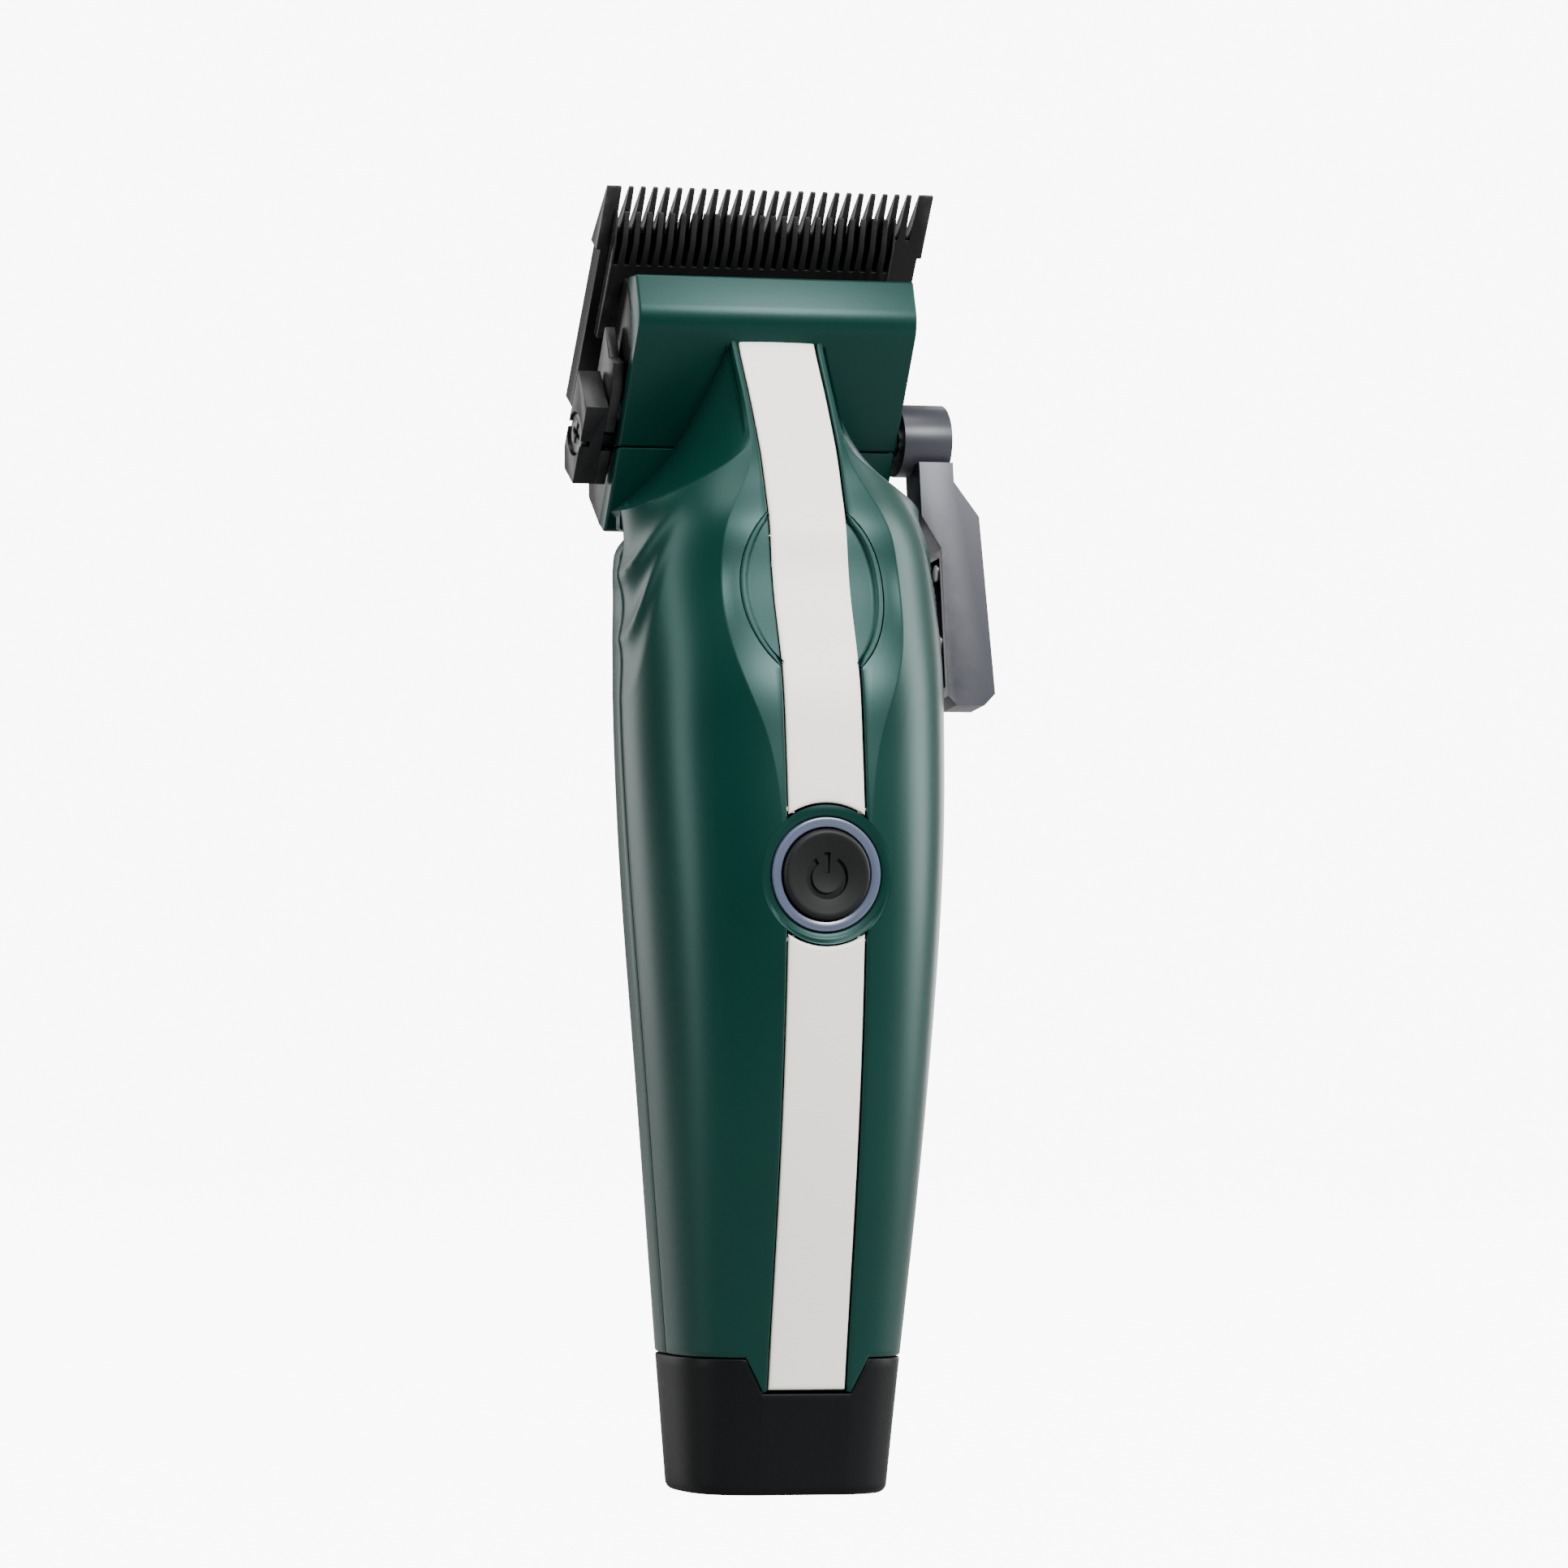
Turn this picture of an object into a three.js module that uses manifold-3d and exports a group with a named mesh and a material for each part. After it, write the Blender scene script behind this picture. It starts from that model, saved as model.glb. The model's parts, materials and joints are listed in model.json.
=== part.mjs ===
// Cordless hair clipper, in millimetres.
// +Z runs from the end cap up to the blade, -Y is the front with the button, +X is the lever side.
// The origin is at the middle of the flat face under the end cap.
import * as THREE from 'three';
import { mergeVertices } from 'three/addons/utils/BufferGeometryUtils.js';
import Module from 'manifold-3d';

const wasm = await Module();
wasm.setup();

// ---------------------------------------------------------------- driving dimensions

const GAP = 0.3; // between two pieces that touch or are cut by each other
const RUNNING_GAP = 0.4; // around a piece that moves
const OVERLAP = 0.1; // that joined solids share
const FAR = 60; // past the outside of everything

// Handle
const SHOULDER_HEIGHT = 131;
const HANDLE_HALF_WIDTH = 22.1;
const HANDLE_FRONT = 18.5;
const HANDLE_BACK = 20.4;
const SHELL_WALL = 2.4;
const CAP_HEIGHT = 18.4;
const CAP_FLOOR = 2.6;
const CAP_NOTCH_DEPTH = 4.2;
const CAP_NOTCH_HALF_BOTTOM = 6.3;
const CAP_NOTCH_HALF_TOP = 8.7;
const REAR_SHELL_DROP = 2.8; // its top edge lies this far below the shoulder

// Stripe, thumb rest and button on the front
const STRIPE_HALF_WIDTH = 5.35;
const STRIPE_THICKNESS = 1;
const STRIPE_REACH = 23.8; // above the shoulder
const THUMB_HALF_WIDTH = 10;
const THUMB_HALF_HEIGHT = 12.4;
const THUMB_BELOW_SHOULDER = 10.5;
const THUMB_SINK = 0.2;
const THUMB_THICKNESS = 1.5;
const BUTTON_BELOW_SHOULDER = 48.3;
const BUTTON_RADIUS = 6.05;
const BUTTON_PROUD = 0.1;
const BUTTON_THICKNESS = 2.6;
const BUTTON_STEM_RADIUS = 1.8;
const BUTTON_TRAVEL = 0.6;
const RING_RADIUS = BUTTON_RADIUS + 1.55;
const RING_DEPTH = 3.2;
const DISH_RADIUS = RING_RADIUS + 1.65;
const DISH_DEPTH = 0.6;

// Head: a box that leans forward, seen in its own frame with the heel of the blade as origin
const HEAD_LEAN = 30; // degrees
const HEEL_BACK = 27.4;
const HEAD_HALF_WIDTH = 19.75;
const HEAD_DEPTH = 17;
const HEEL_ABOVE_SHOULDER = 7.4 + HEAD_DEPTH / 2;
const HEAD_BELOW_HEEL = 12;
const HEAD_WALL = 1.8;
const HEAD_SIDE_DEPTH = 3;
const HEAD_SEAM_ABOVE_SHOULDER = 8.7;
const BAND_BOTTOM = 15.4; // up the blade from the heel
const BAND_TOP = 21.8;
const BAND_TOP_INSET = 3.7;
const LIP_TOP = 23.4;
const LIP_INSET = 9;

// Blades
const BLADE_HALF_WIDTH = 23.2;
const BLADE_LENGTH = 33.4;
const BLADE_THICKNESS = 3;
const BLADE_TIP_THICKNESS = 0.5;
const BLADE_BEVEL = 10.2;
const BLADE_STEP = 0.6;
const BLADE_STEP_BELOW_TIP = 9.5;
const TOOTH_PITCH = 1.72;
const TOOTH_SLOTS = 25;
const TOOTH_LENGTH = 6.8;
const SLOT_TIP_WIDTH = 1.15;
const SLOT_ROOT_WIDTH = 0.6;
const CUTTER_SLOTS = 25;
const CUTTER_PITCH = 1.6;
const CUTTER_SLOT_LENGTH = 7.4;
const CUTTER_THICKNESS = 1.6;
const CUTTER_TIP_SETBACK = 3.4;
const CUTTER_LENGTH = 18.5;
const CUTTER_HALF_STROKE = 1.6;
const CUTTER_EDGE = 0.8;
const DRIVER_HALF_WIDTH = 4.4;
const SPRING_HALF_WIDTH = 11.5;
const SPRING_THICKNESS = 0.6;
const BLADE_SCREW_UP = 5.2;
const BLADE_SCREW_ACROSS = 8.5;
const BLADE_SCREW_HEAD_RADIUS = 2.7;
const BLADE_SCREW_HEAD_TOP = 2.1;

// Chassis, taper lever and the parts it moves
const CHASSIS_HALF_WIDTH = 19.4;
const CHASSIS_POCKET_HALF_WIDTH = 13.8;
const CARRIER_THICKNESS = 2.4;
const CARRIER_LENGTH = 8.2;
const AXLE_UP = 1;
const AXLE_INSET = 12.7;
const AXLE_RADIUS = 2.2;
const CRANK_THROW = 3.5;
const CRANK_PIN_RADIUS = 1.2;
const CRANK_WEB_RADIUS = 1.9;
const CRANK_START_ANGLE = -20; // degrees, swings the same amount past the middle
const HUB_RADIUS = 4.95;
const HUB_START = HEAD_HALF_WIDTH + 0.85;
const LEVER_ROOT = Math.max(HANDLE_HALF_WIDTH, HEAD_HALF_WIDTH + 2.35);
const HUB_END = LEVER_ROOT + 5.3;
const LEVER_LEAN = -10; // degrees
const LEVER_FRONT = -4.6;
const LEVER_THICKNESS = 5.6;
const LEVER_LENGTH = 37.2;
const LEVER_KINK_TOP = 6.4;
const LEVER_KINK_BOTTOM = 11.2;
const LEVER_KINK_OUT = 3.4;
const LEVER_INNER_TOP = LEVER_ROOT + 0.4;
const LEVER_INNER_BOTTOM = LEVER_ROOT + 3;
const LEVER_OUTER_BOTTOM = LEVER_ROOT + 9.8;
const LINER_THICKNESS = 0.7;
const LINER_POCKET_DEPTH = 2.6;
const LINER_POCKET_EDGE = 1; // wall left beside the pocket
const LINER_POCKET_END = 2.6; // wall left under it
const STUD_RADIUS = 1.2;
const STUD_DROPS = [18.6, 28.4];
const BLOCK_LENGTH = 14.1;
const BLOCK_DEPTH = 5.9;
const BLOCK_END = 25;
const PIVOT_SCREW_RADIUS = 2.7;
const GUIDE_END = 21.6;
// Outline of the guide block in (depth, height up the blade)
const GUIDE_OUTLINE = [[-14.8, -5.6], [-8.4, -5.6], [-7.4, 14.6], [-11.4, 12], [-13.4, 12.4], [-14.8, 9]];

// Inside the handle
const CELL_RADIUS = 9.15;
const CELL_LENGTH = 50;
const CELL_BOTTOM = 31;
const CELL_BACK = 1;
const CRADLE_WALL = 1.1;
const BOARD_THICKNESS = 1.2;
const BOARD_HALF_WIDTH = 6.8;
const BOARD_BOTTOM = 42;
const BOARD_TOP_ABOVE_BUTTON = 10;
const SWITCH_HEIGHT = 2.4;
const SWITCH_HALF_WIDTH = 3;
const MOTOR_RADIUS = 9.8;
const MOTOR_LENGTH = 30;
const MOTOR_LEAN = 12; // degrees
const MOTOR_TOP_BELOW_SHOULDER = 13.5;
const MOTOR_TOP_BACK = 6.6;
const SHAFT_RADIUS = 1.2;
const SHAFT_LENGTH = 9;
const ECCENTRIC_RADIUS = 4.6;
const ECCENTRIC_THICKNESS = 3;
const DRIVE_PIN_RADIUS = 1.2;
const DRIVE_PIN_LENGTH = 3.6;
const SOCKET_HALF_WIDTH = 4.6;
const SOCKET_HALF_DEPTH = 1.7;
const SOCKET_WALL = 0.7;
const SOCKET_LENGTH = 9;
const SOCKET_BACK = 5.4;
const CONTACT_RADIUS = 1.5;
const CONTACT_SPREAD = HANDLE_HALF_WIDTH * 0.62 - 4.702;
const SCREW_RADIUS = 1.4;
const SCREW_HEAD_RADIUS = 2.6;
const SCREW_HEAD_HEIGHT = 1.8;
const SCREW_LENGTH = 9;
const SCREW_SINK = 1;
const BOSS_RADIUS = 2.9;
const LOWER_SCREWS_ACROSS = 10.4;
const LOWER_SCREWS_HEIGHT = 26;
const UPPER_SCREWS_ACROSS = 14.3;
const UPPER_SCREWS_BELOW_SHOULDER = 12;
const SCREW_CROSS_HALF = 1.5;
const SCREW_CROSS_WIDTH = 0.7;
const SCREW_CROSS_DEPTH = 0.8;

// Outline of the handle, as shares of the driving sizes:
// height, half width, front, widest line from front to back, back, squareness
const HANDLE_OUTLINE = [
  [0, 0.645, 0.59, 0, 0.56, 3],
  [0.14, 0.715, 0.703, 0, 0.652, 2.9],
  [0.279, 0.787, 0.838, 0, 0.706, 2.8],
  [0.443, 0.873, 0.951, 0.01, 0.794, 2.6],
  [0.6, 0.95, 1, 0.07, 0.892, 2.5],
  [0.725, 0.986, 0.93, 0.127, 0.941, 2.4],
  [0.824, 1, 0.832, 0.196, 0.971, 2.3],
  [0.908, 0.995, 0.605, 0.275, 0.99, 2.3],
  [0.977, 0.973, 0.497, 0.387, 1, 2.1],
  [1, 0.941, 0.443, 0.426, 1.15, 1.9],
];
// The ridge from the shoulder to the head: height above the shoulder, half width,
// share of the way forward to the face of the head, place of the widest line, squareness
const RIDGE_OUTLINE = [
  [4, 15.5, 0.14, 11.8, 1.4],
  [9, 12.3, 0.32, 13.2, 1.1],
  [15, 10.1, 0.59, 9.3, 1],
  [21, 8.1, 0.9, 6.6, 1],
  [25, 7.6, 1, 6.4, 1],
];
const RIDGE_BACK = 26;

// ---------------------------------------------------------------- derived sizes

const rad = THREE.MathUtils.degToRad;
const HEEL = { y: HEEL_BACK, z: SHOULDER_HEIGHT + HEEL_ABOVE_SHOULDER };
const SHELL_TOP = SHOULDER_HEIGHT - REAR_SHELL_DROP;
const BUTTON_Z = SHOULDER_HEIGHT - BUTTON_BELOW_SHOULDER;
const THUMB_Z = SHOULDER_HEIGHT - THUMB_BELOW_SHOULDER;
const SEAM_Z = SHOULDER_HEIGHT + HEAD_SEAM_ABOVE_SHOULDER;
const CHANNEL_DEPTH = STRIPE_THICKNESS + 0.2;
const STRIPE_TOP = SHOULDER_HEIGHT + STRIPE_REACH;
const STRIPE_BOTTOM = CAP_HEIGHT - CAP_NOTCH_DEPTH;
const CHANNEL_BACK = 12; // behind every stripe

// ---------------------------------------------------------------- solids

function solidOf(geometry) {
  const bare = geometry.index ? geometry.toNonIndexed() : geometry.clone();
  bare.deleteAttribute('normal');
  bare.deleteAttribute('uv');
  const merged = mergeVertices(bare, 1e-4);
  const mesh = new wasm.Mesh({
    numProp: 3,
    vertProperties: new Float32Array(merged.attributes.position.array),
    triVerts: new Uint32Array(merged.index.array),
  });
  return new wasm.Manifold(mesh);
}

function geometryOf(solid) {
  const mesh = solid.getMesh();
  const geometry = new THREE.BufferGeometry();
  geometry.setAttribute('position', new THREE.BufferAttribute(mesh.vertProperties, 3));
  geometry.setIndex(new THREE.BufferAttribute(mesh.triVerts, 1));
  geometry.computeVertexNormals();
  return geometry;
}

function joined(first, ...others) {
  return others.reduce((whole, piece) => whole.add(piece), first);
}

function cut(first, ...others) {
  return others.reduce((whole, piece) => whole.subtract(piece), first);
}

// The main body of a solid, without slivers that a cut leaves loose
function mainBody(solid) {
  const bodies = solid.decompose();
  return bodies.reduce((best, body) => (body.volume() > best.volume() ? body : best));
}

function box(x0, x1, y0, y1, z0, z1) {
  const geometry = new THREE.BoxGeometry(x1 - x0, y1 - y0, z1 - z0);
  return solidOf(geometry.translate((x0 + x1) / 2, (y0 + y1) / 2, (z0 + z1) / 2));
}

function outline(points) {
  return new THREE.Shape(points.map(([u, v]) => new THREE.Vector2(u, v)));
}

function extruded(points, depth) {
  return new THREE.ExtrudeGeometry(outline(points), { depth, bevelEnabled: false, steps: 1 });
}

// Outline in (y, z), swept along X
function prismX(points, x0, x1) {
  const turn = new THREE.Matrix4().set(0, 0, 1, x0, 1, 0, 0, 0, 0, 1, 0, 0, 0, 0, 0, 1);
  return solidOf(extruded(points, x1 - x0).applyMatrix4(turn));
}

// Outline in (x, z), swept along Y
function prismY(points, y0, y1) {
  const turn = new THREE.Matrix4().set(1, 0, 0, 0, 0, 0, -1, y1, 0, 1, 0, 0, 0, 0, 0, 1);
  return solidOf(extruded(points, y1 - y0).applyMatrix4(turn));
}

// Outline in (x, y), swept along Z
function prismZ(points, z0, z1) {
  return solidOf(extruded(points, z1 - z0).translate(0, 0, z0));
}

function rodX(radius, x0, x1, y, z, sides = 24) {
  const geometry = new THREE.CylinderGeometry(radius, radius, x1 - x0, sides);
  return solidOf(geometry.rotateZ(-Math.PI / 2).translate((x0 + x1) / 2, y, z));
}

function rodY(radius, y0, y1, x, z, sides = 24) {
  const geometry = new THREE.CylinderGeometry(radius, radius, y1 - y0, sides);
  return solidOf(geometry.translate(x, (y0 + y1) / 2, z));
}

function rodZ(radius, z0, z1, x, y, sides = 24) {
  const geometry = new THREE.CylinderGeometry(radius, radius, z1 - z0, sides);
  return solidOf(geometry.rotateX(Math.PI / 2).translate(x, y, (z0 + z1) / 2));
}

function ellipse(halfWidth, halfHeight, centreX, centreZ, sides = 32) {
  return Array.from({ length: sides }, (_, i) => {
    const angle = (2 * Math.PI * i) / sides;
    return [centreX + halfWidth * Math.cos(angle), centreZ + halfHeight * Math.sin(angle)];
  });
}

function moved(solid, matrix) {
  return solidOf(geometryOf(solid).applyMatrix4(matrix));
}

// ---------------------------------------------------------------- handle outline

function stationAt(height) {
  const shoulderFront = -HANDLE_FRONT * HANDLE_OUTLINE.at(-1)[2];
  const handle = HANDLE_OUTLINE.map(([share, width, front, widest, back, square]) => [
    share * SHOULDER_HEIGHT,
    width * HANDLE_HALF_WIDTH,
    -front * HANDLE_FRONT,
    widest * HANDLE_BACK,
    back * HANDLE_BACK,
    square,
  ]);
  const ridge = RIDGE_OUTLINE.map(([rise, halfWidth, forward, widest, square]) => [
    SHOULDER_HEIGHT + rise,
    halfWidth,
    THREE.MathUtils.lerp(shoulderFront, headFaceAt(SHOULDER_HEIGHT + STRIPE_REACH), forward),
    widest,
    RIDGE_BACK,
    square,
  ]);
  const stations = [...handle, ...ridge];
  const z = THREE.MathUtils.clamp(height, stations[0][0], stations.at(-1)[0]);
  let i = 0;
  while (i < stations.length - 2 && z > stations[i + 1][0]) {
    i += 1;
  }
  const slope = (k, column) => {
    const before = stations[Math.max(k - 1, 0)];
    const after = stations[Math.min(k + 1, stations.length - 1)];
    return (after[column] - before[column]) / (after[0] - before[0]);
  };
  const span = stations[i + 1][0] - stations[i][0];
  const t = (z - stations[i][0]) / span;
  const smooth = (column) =>
    stations[i][column] * (2 * t ** 3 - 3 * t ** 2 + 1) +
    span * slope(i, column) * (t ** 3 - 2 * t ** 2 + t) +
    stations[i + 1][column] * (3 * t ** 2 - 2 * t ** 3) +
    span * slope(i + 1, column) * (t ** 3 - t ** 2);
  return { halfWidth: smooth(1), front: smooth(2), widest: smooth(3), back: smooth(4), square: smooth(5) };
}

// Front face of the head at a height, in the handle's frame
function headFaceAt(height) {
  const faceY = HEEL.y - HEAD_DEPTH * Math.cos(rad(HEAD_LEAN));
  const faceZ = HEEL.z - HEAD_DEPTH * Math.sin(rad(HEAD_LEAN));
  const bandY = faceY - BAND_BOTTOM * Math.sin(rad(HEAD_LEAN));
  return Math.max(bandY, faceY - (height - faceZ) * Math.tan(rad(HEAD_LEAN)));
}

const QUARTER_STEPS = 7;

function sectionAt(height, inset) {
  const { halfWidth, front, widest, back, square } = stationAt(height);
  const half = halfWidth - inset;
  const flat = Math.min(STRIPE_HALF_WIDTH + GAP, half - 0.6);
  const power = 2 / square;
  const right = [];
  for (let i = 0; i <= QUARTER_STEPS; i += 1) {
    const t = (Math.PI / 2) * (i / QUARTER_STEPS);
    const x = flat + (half - flat) * Math.sin(t) ** power;
    right.push([x, widest - (widest - front - inset) * Math.cos(t) ** power]);
  }
  const backPower = 2 / Math.max(square, 2.2);
  for (let i = 1; i <= QUARTER_STEPS; i += 1) {
    const t = (Math.PI / 2) * (i / QUARTER_STEPS);
    const x = half * Math.max(Math.cos(t), 0) ** backPower;
    right.push([i === QUARTER_STEPS ? 0 : x, widest + (back - inset - widest) * Math.sin(t) ** backPower]);
  }
  const left = right.slice(0, -1).reverse().map(([x, y]) => [-x, y]);
  return [...right, ...left];
}

// The handle between two heights, drawn in all round by an inset
function handleBody(inset, bottom, top) {
  const inner = [...HANDLE_OUTLINE.map((row) => row[0] * SHOULDER_HEIGHT)];
  inner.push(...RIDGE_OUTLINE.map((row) => row[0] + SHOULDER_HEIGHT));
  const withMiddles = inner.flatMap((z, i) => (i ? [(inner[i - 1] + z) / 2, z] : [z]));
  const levels = [bottom, ...withMiddles.filter((z) => z > bottom + 0.5 && z < top - 0.5), top];
  const positions = [];
  const rings = levels.map((z) => sectionAt(z, inset).map(([x, y]) => [x, y, z]));
  const face = (a, b, c) => positions.push(...a, ...b, ...c);
  const count = rings[0].length;
  const middle = (ring) => [0, (ring[0][1] + ring[Math.floor(count / 2)][1]) / 2, ring[0][2]];
  for (let k = 0; k < count; k += 1) {
    const next = (k + 1) % count;
    for (let i = 0; i < rings.length - 1; i += 1) {
      face(rings[i][k], rings[i][next], rings[i + 1][next]);
      face(rings[i][k], rings[i + 1][next], rings[i + 1][k]);
    }
    face(middle(rings[0]), rings[0][next], rings[0][k]);
    face(middle(rings.at(-1)), rings.at(-1)[k], rings.at(-1)[next]);
  }
  const geometry = new THREE.BufferGeometry();
  geometry.setAttribute('position', new THREE.Float32BufferAttribute(positions, 3));
  return solidOf(geometry);
}

// Everything in front of the side seam, up to the shoulder; above it, all of the ridge
function frontSide(shift) {
  const seam = HANDLE_OUTLINE.map(([share]) => {
    const height = share * SHOULDER_HEIGHT;
    return [stationAt(height).widest + shift, height];
  }).filter(([, height]) => height < SHELL_TOP);
  const top = STRIPE_TOP + 20;
  const points = [[-FAR, -20], [seam[0][0], -20], ...seam];
  points.push([stationAt(SHELL_TOP).widest + shift, SHELL_TOP + shift + GAP / 2]);
  points.push([FAR, SHELL_TOP + shift + GAP / 2], [FAR, top], [-FAR, top]);
  return prismX(points, -FAR, FAR);
}

// ---------------------------------------------------------------- head frame

const headMatrix = new THREE.Matrix4()
  .makeRotationX(rad(HEAD_LEAN))
  .setPosition(0, HEEL.y, HEEL.z);
const headInverse = headMatrix.clone().invert();

// Outline of the head in (depth, height up the blade), grown by an offset
function headOutline(grow, sideDepth) {
  const front = -HEAD_DEPTH - grow;
  const slope = grow * 0.4;
  return [
    [front + 1.2, -HEAD_BELOW_HEEL - grow],
    [front + sideDepth, -HEAD_BELOW_HEEL - grow],
    [front + sideDepth, BAND_BOTTOM - 0.6],
    [front + sideDepth + 3, BAND_TOP - 2.6],
    [-HEAD_DEPTH + LIP_INSET + grow, LIP_TOP - 1.6],
    [-HEAD_DEPTH + LIP_INSET + grow, LIP_TOP + grow],
    [-HEAD_DEPTH + BAND_TOP_INSET - grow, BAND_TOP + grow],
    [front, BAND_BOTTOM + slope],
    [front, -HEAD_BELOW_HEEL + 1.2],
  ];
}

function headShell() {
  const skin = prismX(headOutline(0, HEAD_SIDE_DEPTH), -HEAD_HALF_WIDTH, HEAD_HALF_WIDTH);
  const w = HEAD_WALL;
  const hollow = [
    [-HEAD_DEPTH + w, -HEAD_BELOW_HEEL - 5],
    [10, -HEAD_BELOW_HEEL - 5],
    [10, LIP_TOP - w],
    [-HEAD_DEPTH + LIP_INSET, LIP_TOP - w],
    [-HEAD_DEPTH + BAND_TOP_INSET + w * 0.7, BAND_TOP - w],
    [-HEAD_DEPTH + w, BAND_BOTTOM - w * 0.3],
  ];
  const inside = prismX(hollow, -HEAD_HALF_WIDTH + w, HEAD_HALF_WIDTH - w);
  const axle = rodX(AXLE_RADIUS + GAP, -FAR, FAR, -AXLE_INSET, AXLE_UP);
  return cut(skin, inside, driveWindow(), axle);
}

// Opening behind the ridge where the drive passes into the head
function driveWindow() {
  return box(-8, 8, -HEAD_DEPTH - 2, -HEAD_DEPTH + 4, -HEAD_BELOW_HEEL + 2.4, 7.5);
}

// ---------------------------------------------------------------- handle pieces

function stripeChannel() {
  const half = STRIPE_HALF_WIDTH + GAP;
  const strip = box(-half, half, -FAR, CHANNEL_BACK, STRIPE_BOTTOM - GAP, STRIPE_TOP + GAP);
  const top = STRIPE_TOP + 1;
  return cut(handleBody(-3, 1, top), handleBody(CHANNEL_DEPTH, -1, top + 1)).intersect(strip);
}

function notchOutline(grow) {
  const bottom = STRIPE_BOTTOM - GAP - 0.4 - grow;
  return [
    [-CAP_NOTCH_HALF_BOTTOM - grow, bottom],
    [CAP_NOTCH_HALF_BOTTOM + grow, bottom],
    [CAP_NOTCH_HALF_TOP + grow, CAP_HEIGHT + 0.4],
    [CAP_NOTCH_HALF_TOP + grow, CAP_HEIGHT + 2],
    [-CAP_NOTCH_HALF_TOP - grow, CAP_HEIGHT + 2],
    [-CAP_NOTCH_HALF_TOP - grow, CAP_HEIGHT + 0.4],
  ];
}

function socketHole(grow, back) {
  const halfWidth = SOCKET_HALF_WIDTH + grow;
  const halfDepth = SOCKET_HALF_DEPTH + grow;
  const bend = halfDepth;
  const points = [];
  for (const side of [1, -1]) {
    for (let i = 0; i <= 6; i += 1) {
      const angle = (Math.PI / 2) * (i / 3 - 1);
      const centre = side * (halfWidth - bend);
      points.push([centre + side * bend * Math.cos(angle), back + side * bend * Math.sin(angle)]);
    }
  }
  return points;
}

const contactPlaces = { left: -CONTACT_SPREAD, right: CONTACT_SPREAD };

function endCap() {
  const skin = handleBody(0, 0, CAP_HEIGHT - GAP / 2);
  const hollow = handleBody(SHELL_WALL, CAP_FLOOR, CAP_HEIGHT + 4);
  const notch = prismY(notchOutline(GAP), -FAR, 0);
  const holes = Object.values(contactPlaces).map((x) => rodZ(CONTACT_RADIUS + GAP, -1, 6, x, 0, 16));
  const socket = prismZ(socketHole(SOCKET_WALL + GAP, SOCKET_BACK), -1, 6);
  return mainBody(cut(skin, hollow, notch, socket, ...holes));
}

function shellScrewHeadY(x, z) {
  const ring = sectionAt(z, 0).filter(([px, py]) => px >= 0 && py >= stationAt(z).widest);
  ring.sort((a, b) => a[0] - b[0]);
  const index = ring.findIndex(([px]) => px >= Math.abs(x));
  const [near, far] = [ring[index - 1], ring[index]];
  const share = (Math.abs(x) - near[0]) / (far[0] - near[0]);
  return near[1] + (far[1] - near[1]) * share - SCREW_SINK;
}

function screwPlaces() {
  const upper = SHOULDER_HEIGHT - UPPER_SCREWS_BELOW_SHOULDER;
  return [
    [-LOWER_SCREWS_ACROSS, LOWER_SCREWS_HEIGHT],
    [LOWER_SCREWS_ACROSS, LOWER_SCREWS_HEIGHT],
    [-UPPER_SCREWS_ACROSS, upper],
    [UPPER_SCREWS_ACROSS, upper],
  ];
}

function frontShell() {
  const body = handleBody(0, 1, STRIPE_TOP + 1);
  const aboveCap = box(-FAR, FAR, -FAR, FAR, CAP_HEIGHT + GAP / 2, STRIPE_TOP + 5);
  const tongue = prismY(notchOutline(0), -FAR, 0);
  const hollow = handleBody(SHELL_WALL, -1, STRIPE_TOP + 3);
  const head = moved(prismX(headOutline(GAP, FAR), -FAR, FAR), headMatrix);
  const bosses = screwPlaces().map(([x, z]) => {
    const start = shellScrewHeadY(x, z) - SHELL_WALL - 0.6;
    const boss = rodY(BOSS_RADIUS, stationAt(z).front, start, x, z, 16).intersect(body);
    return cut(boss, rodY(SCREW_RADIUS + 0.1, start - SCREW_LENGTH, start + 1, x, z, 12));
  });
  const wall = cut(body, hollow).intersect(joined(aboveCap, tongue)).intersect(frontSide(-GAP / 2));
  const front = stationAt(BUTTON_Z).front;
  const dish = rodY(DISH_RADIUS, front - 3, front + DISH_DEPTH, 0, BUTTON_Z, 36);
  const hole = rodY(RING_RADIUS + GAP, front - 3, front + 8, 0, BUTTON_Z, 32);
  const thumb = thumbSolid(THUMB_THICKNESS + THUMB_SINK + GAP, -3, GAP);
  return mainBody(cut(joined(wall, ...bosses), head, stripeChannel(), dish, hole, thumb));
}

function rearShell() {
  const body = cut(handleBody(0, 1, SHELL_TOP), handleBody(SHELL_WALL, -1, SHELL_TOP + 2));
  const aboveCap = box(-FAR, FAR, -FAR, FAR, CAP_HEIGHT + GAP / 2, SHELL_TOP);
  const wall = cut(body.intersect(aboveCap), frontSide(GAP / 2));
  const plugs = screwPlaces().map(([x, z]) => {
    const head = shellScrewHeadY(x, z);
    const pad = rodY(SCREW_HEAD_RADIUS + 1.4, head - SHELL_WALL, head + 4, x, z, 16);
    return pad.intersect(handleBody(0, 1, SHELL_TOP));
  });
  const holes = screwPlaces().flatMap(([x, z]) => {
    const head = shellScrewHeadY(x, z);
    const shank = rodY(SCREW_RADIUS + GAP, head - 8, head + 2, x, z, 12);
    return [shank, rodY(SCREW_HEAD_RADIUS + GAP, head - SCREW_HEAD_HEIGHT + 0.3, head + 8, x, z, 16)];
  });
  const bosses = screwPlaces().map(([x, z]) => {
    const start = shellScrewHeadY(x, z) - SHELL_WALL - 0.6;
    return rodY(BOSS_RADIUS + GAP, start - 30, start + GAP, x, z, 16);
  });
  return mainBody(cut(joined(wall, ...plugs), ...holes, ...bosses));
}

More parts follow.
